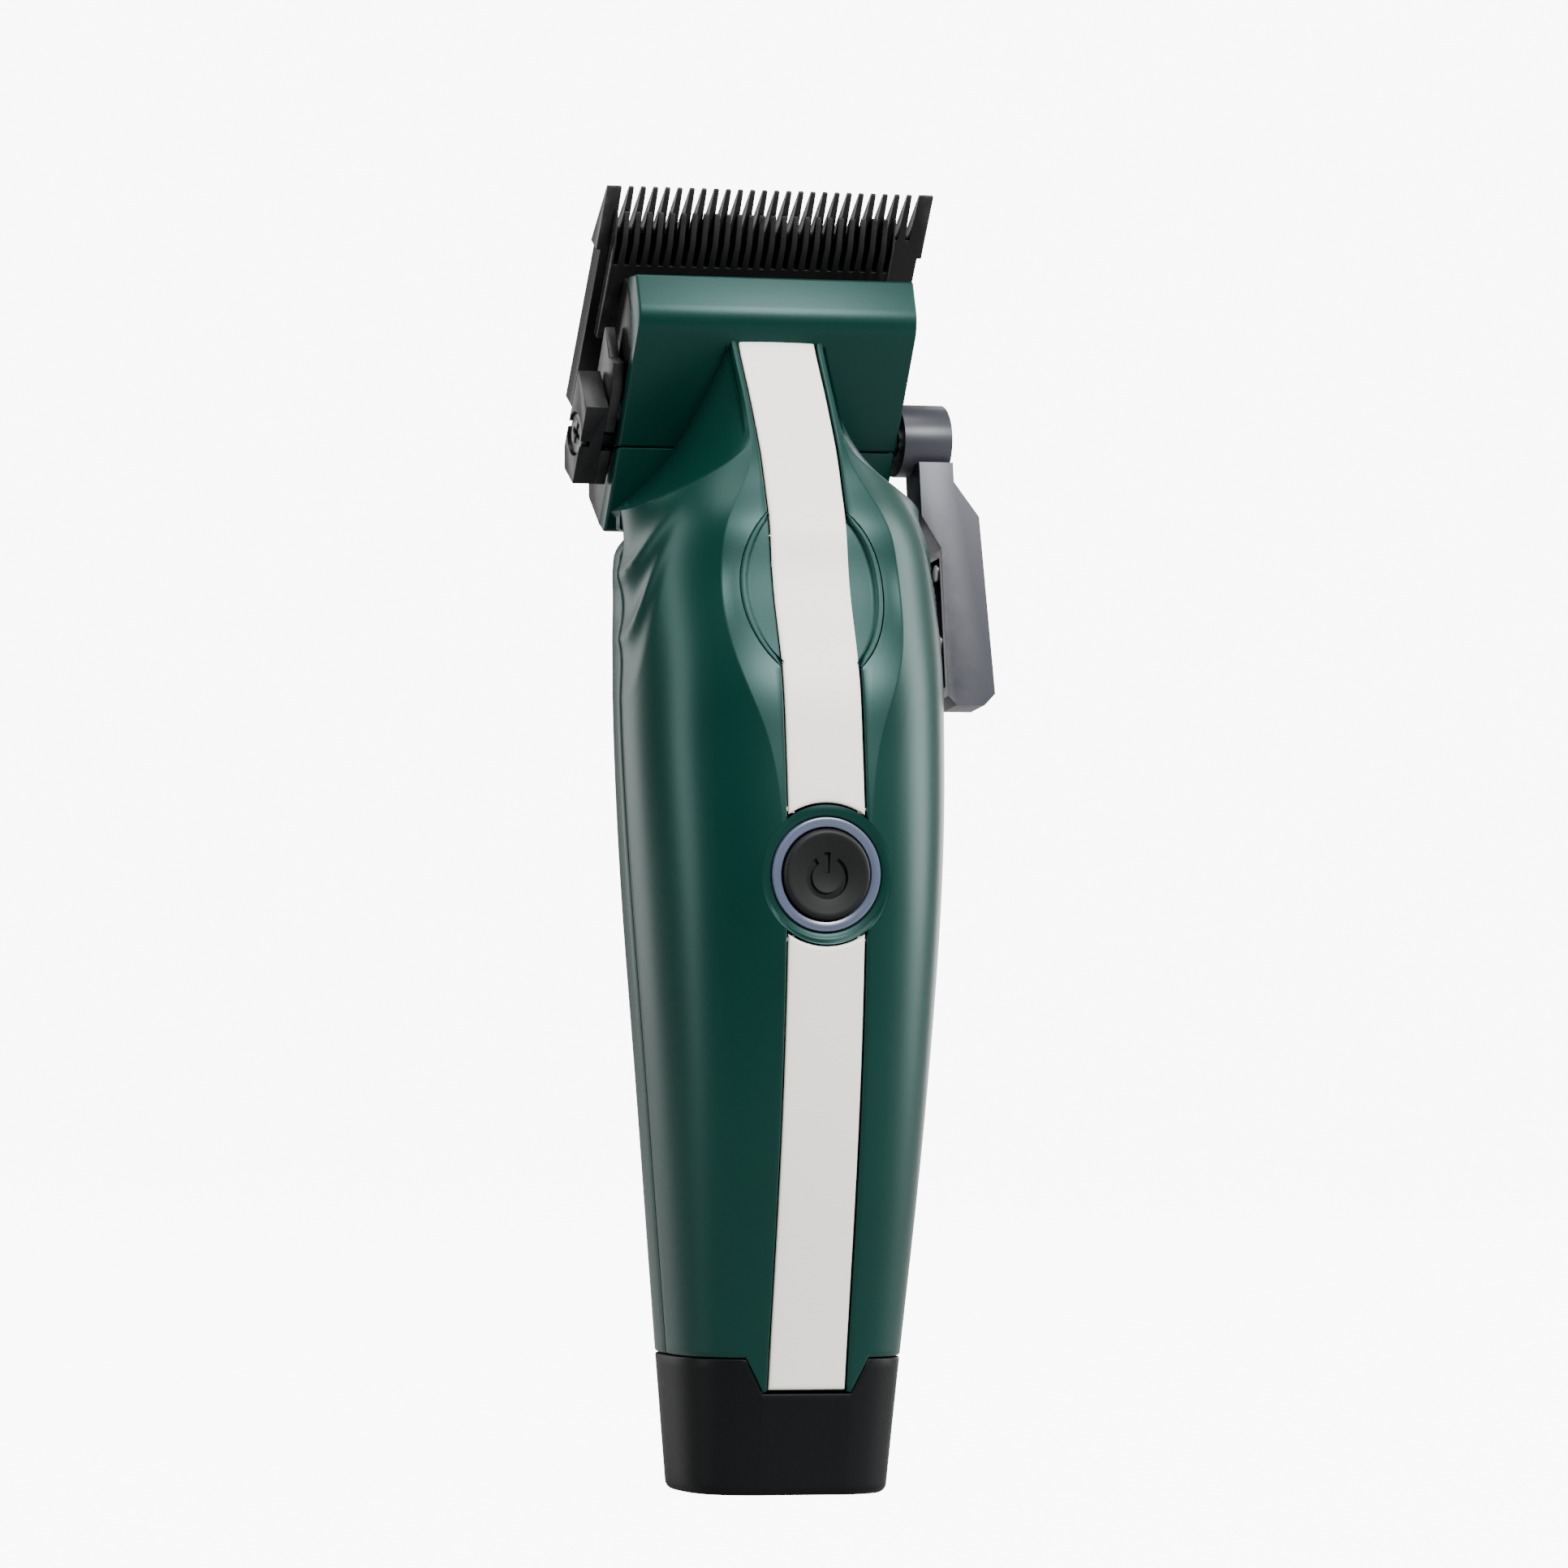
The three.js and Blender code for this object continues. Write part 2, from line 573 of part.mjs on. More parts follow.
function shellScrew([x, z]) {
  const head = shellScrewHeadY(x, z);
  const seat = head - SCREW_HEAD_HEIGHT + 0.6;
  const cap = rodY(SCREW_HEAD_RADIUS, seat, head, x, z, 16);
  const [long, short] = [SCREW_CROSS_HALF, SCREW_CROSS_WIDTH / 2];
  const cross = [
    box(x - long, x + long, head - SCREW_CROSS_DEPTH, head + 1, z - short, z + short),
    box(x - short, x + short, head - SCREW_CROSS_DEPTH, head + 1, z - long, z + long),
  ];
  const shank = rodY(SCREW_RADIUS - GAP, seat - SCREW_LENGTH + 2, seat + OVERLAP, x, z, 12);
  return cut(joined(cap, shank), ...cross);
}

function thumbSolid(inner, outer, grow) {
  const oval = ellipse(THUMB_HALF_WIDTH + grow, THUMB_HALF_HEIGHT + grow, 0, THUMB_Z);
  const top = THUMB_Z + THUMB_HALF_HEIGHT + 3;
  const skin = cut(handleBody(outer, 60, top), handleBody(inner, 50, top + 3));
  return skin.intersect(prismY(oval, -FAR, 0));
}

function thumbRest() {
  const plate = thumbSolid(THUMB_THICKNESS + THUMB_SINK, THUMB_SINK, 0);
  return mainBody(cut(plate, stripeChannel()));
}

function stripe(bottom, top) {
  const skin = cut(handleBody(0.1, 1, STRIPE_TOP + 3), handleBody(STRIPE_THICKNESS, -1, STRIPE_TOP + 5));
  const strip = box(-STRIPE_HALF_WIDTH, STRIPE_HALF_WIDTH, -FAR, CHANNEL_BACK, bottom, top);
  const recess = rodY(DISH_RADIUS + GAP, -FAR, 0, 0, BUTTON_Z, 36);
  return mainBody(cut(skin.intersect(strip), recess));
}

function buttonFront() {
  return stationAt(BUTTON_Z).front;
}

function lightRing() {
  const front = buttonFront() + DISH_DEPTH - 0.2;
  const outer = rodY(RING_RADIUS, front, front + RING_DEPTH, 0, BUTTON_Z, 32);
  return cut(outer, rodY(BUTTON_RADIUS + GAP, front - 1, front + RING_DEPTH + 1, 0, BUTTON_Z, 32));
}

const BOARD_FRONT = CELL_BACK - CELL_RADIUS - CRADLE_WALL - GAP - BOARD_THICKNESS - 0.2;
const SWITCH_FRONT = BOARD_FRONT - GAP - SWITCH_HEIGHT;

// Modelled about its own front face, pressed along +Y
function powerButton() {
  const stemEnd = SWITCH_FRONT - BUTTON_TRAVEL - GAP - buttonFront() + BUTTON_PROUD;
  const cap = rodY(BUTTON_RADIUS, 0, BUTTON_THICKNESS, 0, 0, 32);
  const stem = rodY(BUTTON_STEM_RADIUS, BUTTON_THICKNESS - 0.2, stemEnd, 0, 0, 16);
  return joined(cap, stem);
}

// ---------------------------------------------------------------- inside the handle

function circuitBoard() {
  const top = BUTTON_Z + BOARD_TOP_ABOVE_BUTTON;
  const half = BOARD_HALF_WIDTH;
  return box(-half, half, BOARD_FRONT, BOARD_FRONT + BOARD_THICKNESS, BOARD_BOTTOM, top);
}

function buttonSwitch() {
  const half = SWITCH_HALF_WIDTH;
  const foot = box(-half, half, SWITCH_FRONT + 0.8, BOARD_FRONT - GAP, BUTTON_Z - half, BUTTON_Z + half);
  return joined(foot, rodY(1.6, SWITCH_FRONT, SWITCH_FRONT + 1, 0, BUTTON_Z, 16));
}

function batteryCell() {
  const top = CELL_BOTTOM + CELL_LENGTH;
  const can = rodZ(CELL_RADIUS, CELL_BOTTOM, top - 1.4, 0, CELL_BACK, 28);
  return joined(can, rodZ(CELL_RADIUS * 0.4, top - 1.5, top, 0, CELL_BACK, 16));
}

function batteryCradle() {
  const bottom = CELL_BOTTOM - CRADLE_WALL - GAP;
  const top = CELL_BOTTOM + CELL_LENGTH + GAP + CRADLE_WALL;
  const inner = CELL_RADIUS + GAP;
  const outer = rodZ(inner + CRADLE_WALL, bottom, top, 0, CELL_BACK, 28);
  const bore = rodZ(inner, CELL_BOTTOM - GAP, top - CRADLE_WALL, 0, CELL_BACK, 28);
  const open = box(-40, 40, CELL_BACK + 0.6, 40, CELL_BOTTOM - GAP, top - CRADLE_WALL);
  const trimmed = box(-40, 40, -40, CELL_BACK + 6, bottom - 1, top + 1);
  const wire = box(-2, 2, CELL_BACK + 3, 40, bottom - 1, top + 1);
  return cut(outer.intersect(trimmed), bore, open, wire);
}

const motorGroup = new THREE.Group();
motorGroup.position.set(0, MOTOR_TOP_BACK, SHOULDER_HEIGHT - MOTOR_TOP_BELOW_SHOULDER);
motorGroup.rotation.x = rad(-MOTOR_LEAN);

function motorCan() {
  const can = rodZ(MOTOR_RADIUS, -MOTOR_LENGTH, 0, 0, 0, 32);
  const nose = rodZ(MOTOR_RADIUS * 0.4, -0.1, 1.4, 0, 0, 20);
  return cut(joined(can, nose), rodZ(SHAFT_RADIUS + RUNNING_GAP, -6, 3, 0, 0, 16));
}

function motorRotor() {
  const shaft = rodZ(SHAFT_RADIUS, -5, SHAFT_LENGTH - 0.5, 0, 0, 16);
  const base = SHAFT_LENGTH - ECCENTRIC_THICKNESS;
  const disc = rodZ(ECCENTRIC_RADIUS, base, SHAFT_LENGTH, 0, 0, 24);
  const relief = box(-10, 10, -10, -ECCENTRIC_RADIUS * 0.45, base - 1, SHAFT_LENGTH - 1);
  const top = SHAFT_LENGTH + DRIVE_PIN_LENGTH;
  const pin = rodZ(DRIVE_PIN_RADIUS, SHAFT_LENGTH - 0.5, top, -CUTTER_HALF_STROKE, 0, 16);
  return cut(joined(shaft, disc, pin), relief);
}

function motorMount() {
  const inner = MOTOR_RADIUS + GAP;
  const ring = rodZ(inner + 1.6, -10, 0, 0, 0, 32);
  const flats = box(-inner - 0.9, inner + 0.9, -30, inner + 0.9, -20, 5);
  const bore = rodZ(inner, -20, 5, 0, 0, 32);
  const front = box(-30, 30, -30, -inner + 1.6, -20, 5);
  return mainBody(cut(ring.intersect(flats), bore, front));
}

function chargeSocket() {
  const shell = prismZ(socketHole(SOCKET_WALL, 0), 0.4, 0.4 + SOCKET_LENGTH);
  return cut(shell, prismZ(socketHole(0, 0), -1, SOCKET_LENGTH - 0.6));
}

function chargeContact() {
  return joined(rodZ(CONTACT_RADIUS, 0, 4.2, 0, 0, 16), rodZ(CONTACT_RADIUS + 1, 3.4, 4.2, 0, 0, 16));
}

// ---------------------------------------------------------------- head pieces, in the head's frame

function headParts() {
  const seam = (from, to) => moved(box(-FAR, FAR, -FAR, FAR, from, to), headInverse);
  const channel = moved(stripeChannel(), headInverse);
  const shell = headShell();
  const cover = cut(shell.intersect(seam(SEAM_Z + GAP / 2, SEAM_Z + FAR)), channel);
  const base = shell.intersect(seam(SEAM_Z - FAR, SEAM_Z - GAP / 2));
  return { cover: mainBody(cover), base: mainBody(base) };
}

function bladeChassis() {
  const front = -HEAD_DEPTH + HEAD_SIDE_DEPTH + GAP;
  const blade = -BLADE_THICKNESS - GAP;
  const cutterFace = blade - CUTTER_THICKNESS - RUNNING_GAP;
  const cutterFoot = BLADE_LENGTH - CUTTER_TIP_SETBACK - CUTTER_LENGTH - RUNNING_GAP;
  const side = [
    [front, -HEAD_BELOW_HEEL - 0.6],
    [-7.4, -HEAD_BELOW_HEEL + 0.4],
    [-0.6, -GAP - 0.8],
    [-0.6, -GAP],
    [blade, -GAP],
    [blade, cutterFoot],
    [cutterFace, cutterFoot],
    [cutterFace, LIP_TOP - 2.4],
    [-HEAD_DEPTH + LIP_INSET + 0.7, LIP_TOP - 2.4],
    [-HEAD_DEPTH + LIP_INSET + 0.1, LIP_TOP - 3],
    [front + 3.2, BAND_TOP - 3.4],
    [front, BAND_BOTTOM - 0.9],
  ];
  const half = CHASSIS_POCKET_HALF_WIDTH;
  const pocketFloor = -5.2;
  const pocket = [
    [-40, pocketFloor - 1],
    [-5.4, pocketFloor],
    [-3.9, -1.4],
    [10, -1.4],
    [10, 40],
    [-40, 40],
  ];
  const body = cut(prismX(side, -CHASSIS_HALF_WIDTH, CHASSIS_HALF_WIDTH), prismX(pocket, -half, half));
  const bore = rodX(AXLE_RADIUS + GAP, half - 1, 30, -AXLE_INSET, AXLE_UP);
  const screwBore = rodX(AXLE_RADIUS + GAP, -30, -half + 1, -AXLE_INSET, AXLE_UP);
  return mainBody(cut(body, bore, screwBore));
}

function guideBlock() {
  const plate = prismX(GUIDE_OUTLINE, -GUIDE_END, -HEAD_HALF_WIDTH - GAP);
  return cut(plate, rodX(AXLE_RADIUS + GAP, -30, 0, -AXLE_INSET, AXLE_UP));
}

const bladeScrewPlaces = { left: -BLADE_SCREW_ACROSS, right: BLADE_SCREW_ACROSS };

function fixedBlade() {
  const side = [
    [-BLADE_THICKNESS, 0],
    [0, 0],
    [0, BLADE_LENGTH - BLADE_BEVEL],
    [-BLADE_THICKNESS + BLADE_TIP_THICKNESS, BLADE_LENGTH],
    [-BLADE_THICKNESS, BLADE_LENGTH],
  ];
  const stepTop = BLADE_LENGTH - BLADE_STEP_BELOW_TIP;
  const plate = prismX(side, -BLADE_HALF_WIDTH, BLADE_HALF_WIDTH);
  const steps = [-1, 1].map((end) => {
    const x = [end * (BLADE_HALF_WIDTH - BLADE_STEP), end * (BLADE_HALF_WIDTH + 1)].sort((a, b) => a - b);
    return box(x[0], x[1], -10, 10, -1, stepTop);
  });
  const slots = Array.from({ length: TOOTH_SLOTS }, (_, i) => {
    const x = (i - (TOOTH_SLOTS - 1) / 2) * TOOTH_PITCH;
    const root = BLADE_LENGTH - TOOTH_LENGTH;
    const tip = BLADE_LENGTH + 1;
    const points = [
      [x - SLOT_ROOT_WIDTH / 2, root],
      [x + SLOT_ROOT_WIDTH / 2, root],
      [x + SLOT_TIP_WIDTH / 2, tip],
      [x - SLOT_TIP_WIDTH / 2, tip],
    ];
    return prismY(points, -10, 10);
  });
  const holes = Object.values(bladeScrewPlaces).map((x) => {
    return rodY(SCREW_RADIUS + GAP, -10, 10, x, BLADE_SCREW_UP, 16);
  });
  return cut(plate, ...steps, ...slots, ...holes);
}

function bladeScrew() {
  const top = BLADE_SCREW_HEAD_TOP;
  const head = rodY(BLADE_SCREW_HEAD_RADIUS, GAP, top, 0, 0, 24);
  const shank = rodY(SCREW_RADIUS, -BLADE_THICKNESS - 2, GAP + OVERLAP, 0, 0, 16);
  const [long, short] = [BLADE_SCREW_HEAD_RADIUS - 0.5, SCREW_CROSS_WIDTH / 2];
  const floor = top - SCREW_CROSS_DEPTH;
  const cross = [
    box(-long, long, floor, top + 1, -short, short),
    box(-short, short, floor, top + 1, -long, long),
  ];
  return cut(joined(head, shank), ...cross);
}

function crankPinRest() {
  const angle = rad(CRANK_START_ANGLE);
  return { depth: -AXLE_INSET + CRANK_THROW * Math.cos(angle), up: AXLE_UP + CRANK_THROW * Math.sin(angle) };
}

const CRANK_WEB_IN = CHASSIS_POCKET_HALF_WIDTH - 0.8;
const CRANK_WEB_THICKNESS = 1.5;
const LUG_OUT = CRANK_WEB_IN - CRANK_WEB_THICKNESS - RUNNING_GAP;
const LUG_WIDTH = 2.2;

// Plate that the blade is screwed to, with a slotted lug for the crank pin
function bladeCarrier() {
  const half = CHASSIS_POCKET_HALF_WIDTH - RUNNING_GAP;
  const face = -BLADE_THICKNESS - GAP;
  const back = face - CARRIER_THICKNESS;
  const plate = box(-half, half, back, face, 0.5, 0.5 + CARRIER_LENGTH);
  const pin = crankPinRest();
  const slotHalf = CRANK_PIN_RADIUS + GAP;
  const slotBack = -AXLE_INSET + CRANK_THROW + slotHalf + 0.1;
  const lugIn = LUG_OUT - LUG_WIDTH;
  const lug = box(lugIn, LUG_OUT, pin.depth - slotHalf - 1.1, back + 0.5, pin.up - 2.6, pin.up + 3.4);
  const [slotLow, slotHigh] = [pin.up - slotHalf, pin.up + slotHalf];
  const slot = box(lugIn - 1, LUG_OUT + 1, pin.depth - slotHalf, slotBack, slotLow, slotHigh);
  const holes = Object.values(bladeScrewPlaces).map((x) => {
    return rodY(SCREW_RADIUS + GAP, -12, 0, x, BLADE_SCREW_UP, 16);
  });
  return mainBody(cut(joined(plate, lug), slot, ...holes));
}

const CUTTER_FACE = -BLADE_THICKNESS - GAP;
const CUTTER_TIP = BLADE_LENGTH - CUTTER_TIP_SETBACK;
const CUTTER_FOOT = CUTTER_TIP - CUTTER_LENGTH;

// Stored at the left end of its stroke
function cutterBlade() {
  const half = (CUTTER_SLOTS * CUTTER_PITCH) / 2 - 0.1;
  const front = CUTTER_FACE - CUTTER_THICKNESS;
  const side = [
    [front, CUTTER_FOOT],
    [CUTTER_FACE, CUTTER_FOOT],
    [CUTTER_FACE, CUTTER_TIP],
    [CUTTER_FACE - CUTTER_EDGE / 2, CUTTER_TIP],
    [front, CUTTER_TIP - 4],
  ];
  const plate = prismX(side, -half, half);
  const slots = Array.from({ length: CUTTER_SLOTS }, (_, i) => {
    const x = (i - (CUTTER_SLOTS - 1) / 2) * CUTTER_PITCH;
    const root = CUTTER_TIP - CUTTER_SLOT_LENGTH;
    const tip = CUTTER_TIP + 1;
    const points = [[x - 0.35, root], [x + 0.35, root], [x + 0.5, tip], [x - 0.5, tip]];
    return prismY(points, -12, 0);
  });
  const window = box(-3.4, 3.4, -12, 0, CUTTER_FOOT + 2, CUTTER_FOOT + 5.4);
  return cut(plate, ...slots, window);
}

// Yoke from the cutter down to the eccentric; its fork stops short of the pin
function cutterDriver() {
  const back = CUTTER_FACE - CUTTER_THICKNESS - GAP;
  const arm = [
    [back - 2, CUTTER_FOOT + 4.8],
    [back - 2, CUTTER_FOOT + 2.6],
    [-HEAD_DEPTH - 0.6, 3.4],
    [-HEAD_DEPTH - 2.4, 0.6],
    [-HEAD_DEPTH - 2.4, -3],
    [-HEAD_DEPTH - 0.2, -3],
    [-HEAD_DEPTH - 0.2, 0],
    [-HEAD_DEPTH + 1.2, 1.6],
    [back, CUTTER_FOOT + 0.6],
    [back, CUTTER_FOOT + 4.8],
  ];
  const stem = prismX(arm, -DRIVER_HALF_WIDTH, DRIVER_HALF_WIDTH);
  const tongue = box(-3, 3, back - 0.5, CUTTER_FACE - 0.4, CUTTER_FOOT + 2.4, CUTTER_FOOT + 4.6);
  const slotHalf = DRIVE_PIN_RADIUS + GAP;
  const fork = box(-slotHalf, slotHalf, -HEAD_DEPTH - 4, -HEAD_DEPTH + 1, -5, 0);
  return cut(joined(stem, tongue), fork);
}

function tensionSpring() {
  const back = CUTTER_FACE - CUTTER_THICKNESS - GAP;
  const half = SPRING_HALF_WIDTH;
  const open = DRIVER_HALF_WIDTH + GAP + OVERLAP;
  const plate = box(-half, half, back - SPRING_THICKNESS, back, CUTTER_FOOT + 1, CUTTER_FOOT + 6);
  return cut(plate, box(-open, open, back - 2, back + 1, CUTTER_FOOT - 1, CUTTER_FOOT + 5.2));
}

// ---------------------------------------------------------------- lever, about its own axle

const leverPlace = { depth: -AXLE_INSET, up: AXLE_UP };
const LINER_POCKET_TOP = -LEVER_KINK_BOTTOM - 5.6;

function leverOutline() {
  const top = -HUB_RADIUS + 1.2;
  return [
    [LEVER_INNER_TOP, top],
    [LEVER_INNER_TOP, -LEVER_KINK_BOTTOM],
    [LEVER_INNER_BOTTOM, -LEVER_KINK_BOTTOM - 4.4],
    [LEVER_INNER_BOTTOM, -LEVER_LENGTH + 1.2],
    [LEVER_INNER_BOTTOM + 1.2, -LEVER_LENGTH],
    [LEVER_OUTER_BOTTOM - 1.6, -LEVER_LENGTH],
    [LEVER_OUTER_BOTTOM, -LEVER_LENGTH + 1.6],
    [HUB_END + LEVER_KINK_OUT, -LEVER_KINK_BOTTOM],
    [HUB_END, -LEVER_KINK_TOP],
    [HUB_END, top],
  ];
}

function taperLever() {
  const arm = prismY(leverOutline(), LEVER_FRONT, LEVER_FRONT + LEVER_THICKNESS);
  const hub = rodX(HUB_RADIUS, HUB_START, HUB_END, 0, 0, 32);
  const y0 = LEVER_FRONT + LINER_POCKET_EDGE;
  const y1 = LEVER_FRONT + LEVER_THICKNESS - LINER_POCKET_EDGE;
  const inner = LEVER_INNER_BOTTOM;
  const bottom = -LEVER_LENGTH + LINER_POCKET_END;
  const pocket = box(inner - 1, inner + LINER_POCKET_DEPTH, y0, y1, bottom, LINER_POCKET_TOP);
  const bore = rodX(AXLE_RADIUS + 0.1, HUB_START - 1, HUB_END - 2, 0, 0, 20);
  return mainBody(cut(joined(arm, hub), pocket, bore));
}

function leverLiner() {
  const inner = LEVER_INNER_BOTTOM;
  const x1 = inner + LINER_POCKET_DEPTH - GAP;
  const y0 = LEVER_FRONT + LINER_POCKET_EDGE + GAP;
  const y1 = LEVER_FRONT + LEVER_THICKNESS - LINER_POCKET_EDGE - GAP;
  const bottom = -LEVER_LENGTH + LINER_POCKET_END + GAP;
  const plate = box(x1 - LINER_THICKNESS, x1, y0, y1, bottom, LINER_POCKET_TOP - GAP);
  const middle = (y0 + y1) / 2;
  const holes = STUD_DROPS.map((drop) => rodX(STUD_RADIUS * 0.6 + GAP, 20, 40, middle, -drop, 16));
  return cut(plate, ...holes);
}

function leverStud(drop) {
  const x1 = LEVER_INNER_BOTTOM + LINER_POCKET_DEPTH - GAP;
  const middle = LEVER_FRONT + LEVER_THICKNESS / 2;
  const headEnd = x1 - LINER_THICKNESS - GAP;
  const head = rodX(STUD_RADIUS, headEnd - 1.3, headEnd, middle, -drop, 20);
  return joined(head, rodX(STUD_RADIUS * 0.6, headEnd - 0.1, x1, middle, -drop, 16));
}

function leverAxle() {
  const end = HUB_END - 2 - GAP;
  const shaft = rodX(AXLE_RADIUS - 0.2, CRANK_WEB_IN - 0.2, end, 0, 0, 20);
  const webStart = CRANK_WEB_IN - CRANK_WEB_THICKNESS;
  const angle = rad(CRANK_START_ANGLE);
  const pinY = CRANK_THROW * Math.cos(angle);
  const pinZ = CRANK_THROW * Math.sin(angle);
  const web = [angle - Math.PI / 2, angle + Math.PI / 2].flatMap((side, half) =>
    Array.from({ length: 7 }, (_, i) => {
      const turn = side + (Math.PI * i) / 6;
      const centre = half ? [0, 0] : [pinY, pinZ];
      return [
        centre[0] + CRANK_WEB_RADIUS * Math.cos(turn),
        centre[1] + CRANK_WEB_RADIUS * Math.sin(turn),
      ];
    }),
  );
  const arm = prismX(web, webStart, CRANK_WEB_IN);
  const pin = rodX(CRANK_PIN_RADIUS, LUG_OUT - LUG_WIDTH - 0.4, webStart + 0.1, pinY, pinZ, 16);
  return joined(shaft, arm, pin);
}

function pivotBlock() {
  const halfDepth = BLOCK_DEPTH / 2;
  const low = -BLOCK_LENGTH / 2 + 1;
  const high = BLOCK_LENGTH / 2 + 1;
  const shape = [
    [-halfDepth, low],
    [halfDepth - 1.6, low],
    [halfDepth, low + 2.6],
    [halfDepth, high],
    [-halfDepth, high - 2.4],
  ];
  const block = prismX(shape, -BLOCK_END, -GUIDE_END - GAP);
  const seat = rodX(PIVOT_SCREW_RADIUS + GAP, -BLOCK_END - 1, -BLOCK_END + 1.4, 0, 0, 24);
  return cut(block, seat, rodX(AXLE_RADIUS - 0.3 + GAP, -40, 0, 0, 0, 20));
}

function pivotScrew() {
  const headStart = -BLOCK_END + 0.3;
  const head = rodX(PIVOT_SCREW_RADIUS, headStart, -BLOCK_END + 1.4 - GAP, 0, 0, 24);
  const shank = rodX(AXLE_RADIUS - 0.3, -BLOCK_END + 1, -CHASSIS_POCKET_HALF_WIDTH - 1.4, 0, 0, 16);
  const [long, short, floor] = [SCREW_CROSS_HALF, SCREW_CROSS_WIDTH / 2, headStart + SCREW_CROSS_DEPTH - 0.2];
  const cross = [
    box(headStart - 1, floor, -long, long, -short, short),
    box(headStart - 1, floor, -short, short, -long, long),
  ];
  return cut(joined(head, shank), ...cross);
}

// ---------------------------------------------------------------- finishes and scene

const finishes = {
  green: { color: 0x084b3e, roughness: 0.42, metalness: 0 },
  cream: { color: 0xf0ece0, roughness: 0.45, metalness: 0 },
  blackPlastic: { color: 0x191c1d, roughness: 0.5, metalness: 0 },
  blackMetal: { color: 0x26262b, roughness: 0.4, metalness: 0.8 },
  blade: { color: 0x1a1a1a, roughness: 0.3, metalness: 0.9 },
  light: { color: 0x52607a, roughness: 0.3, metalness: 0 },
  steel: { color: 0xb0b2b5, roughness: 0.3, metalness: 1 },
  board: { color: 0x0c4a2a, roughness: 0.5, metalness: 0 },
  wrap: { color: 0x2b5c9a, roughness: 0.35, metalness: 0 },
  brass: { color: 0xc9a04c, roughness: 0.3, metalness: 1 },
};

function add(parent, name, solid, finish, place = [0, 0, 0]) {
  const mesh = new THREE.Mesh(geometryOf(solid), new THREE.MeshStandardMaterial(finishes[finish]));
  mesh.name = name;
  mesh.position.set(...place);
  parent.add(mesh);
}

const clipper = new THREE.Group();
add(clipper, 'end_cap', endCap(), 'blackPlastic');
add(clipper, 'front_shell', frontShell(), 'green');
add(clipper, 'rear_shell', rearShell(), 'green');
add(clipper, 'upper_stripe', stripe(BUTTON_Z, STRIPE_TOP), 'cream');
add(clipper, 'lower_stripe', stripe(STRIPE_BOTTOM, BUTTON_Z), 'cream');
add(clipper, 'thumb_rest', thumbRest(), 'green');
add(clipper, 'light_ring', lightRing(), 'light');
add(clipper, 'power_button', powerButton(), 'blackPlastic', [0, buttonFront() - BUTTON_PROUD, BUTTON_Z]);
add(clipper, 'button_switch', buttonSwitch(), 'steel');
add(clipper, 'circuit_board', circuitBoard(), 'board');
add(clipper, 'battery_cell', batteryCell(), 'wrap');
add(clipper, 'battery_cradle', batteryCradle(), 'blackPlastic');
add(clipper, 'charge_socket', chargeSocket(), 'steel', [0, SOCKET_BACK, 0]);
for (const [side, x] of Object.entries(contactPlaces)) {
  add(clipper, `charge_contact_${side}`, chargeContact(), 'brass', [x, 0, 0.2]);
}
screwPlaces().forEach((place, i) => add(clipper, `shell_screw_${i + 1}`, shellScrew(place), 'steel'));

clipper.add(motorGroup);
add(motorGroup, 'motor_can', motorCan(), 'steel');
add(motorGroup, 'motor_rotor', motorRotor(), 'steel');
add(motorGroup, 'motor_mount', motorMount(), 'blackPlastic');

const headGroup = new THREE.Group();
headGroup.position.set(0, HEEL.y, HEEL.z);
headGroup.rotation.x = rad(HEAD_LEAN);
clipper.add(headGroup);
const head = headParts();
add(headGroup, 'head_cover', head.cover, 'green');
add(headGroup, 'head_base', head.base, 'green');
add(headGroup, 'blade_chassis', bladeChassis(), 'blackPlastic');
add(headGroup, 'guide_block', guideBlock(), 'blackPlastic');
add(headGroup, 'fixed_blade', fixedBlade(), 'blade');
add(headGroup, 'blade_carrier', bladeCarrier(), 'blackMetal');
for (const [side, x] of Object.entries(bladeScrewPlaces)) {
  add(headGroup, `blade_screw_${side}`, bladeScrew(), 'steel', [x, 0, BLADE_SCREW_UP]);
}
const cutterPlace = [-CUTTER_HALF_STROKE, 0, 0];
add(headGroup, 'cutter_blade', cutterBlade(), 'blade', cutterPlace);
add(headGroup, 'cutter_driver', cutterDriver(), 'blackPlastic', cutterPlace);
add(headGroup, 'tension_spring', tensionSpring(), 'steel', cutterPlace);

const axleGroup = new THREE.Group();
axleGroup.position.set(0, leverPlace.depth, leverPlace.up);
headGroup.add(axleGroup);
add(axleGroup, 'lever_axle', leverAxle(), 'steel');
add(axleGroup, 'pivot_block', pivotBlock(), 'blackMetal');
add(axleGroup, 'pivot_screw', pivotScrew(), 'steel');

const leverGroup = new THREE.Group();
leverGroup.rotation.x = rad(LEVER_LEAN - HEAD_LEAN);
axleGroup.add(leverGroup);
add(leverGroup, 'taper_lever', taperLever(), 'blackMetal');
add(leverGroup, 'lever_liner', leverLiner(), 'blackPlastic');
['upper', 'lower'].forEach((end, i) => {
  add(leverGroup, `lever_stud_${end}`, leverStud(STUD_DROPS[i]), 'steel');
});

export default clipper;
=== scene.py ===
"""Looks of a cordless hair clipper, built round its packed frame."""

import bisect
import json
import math

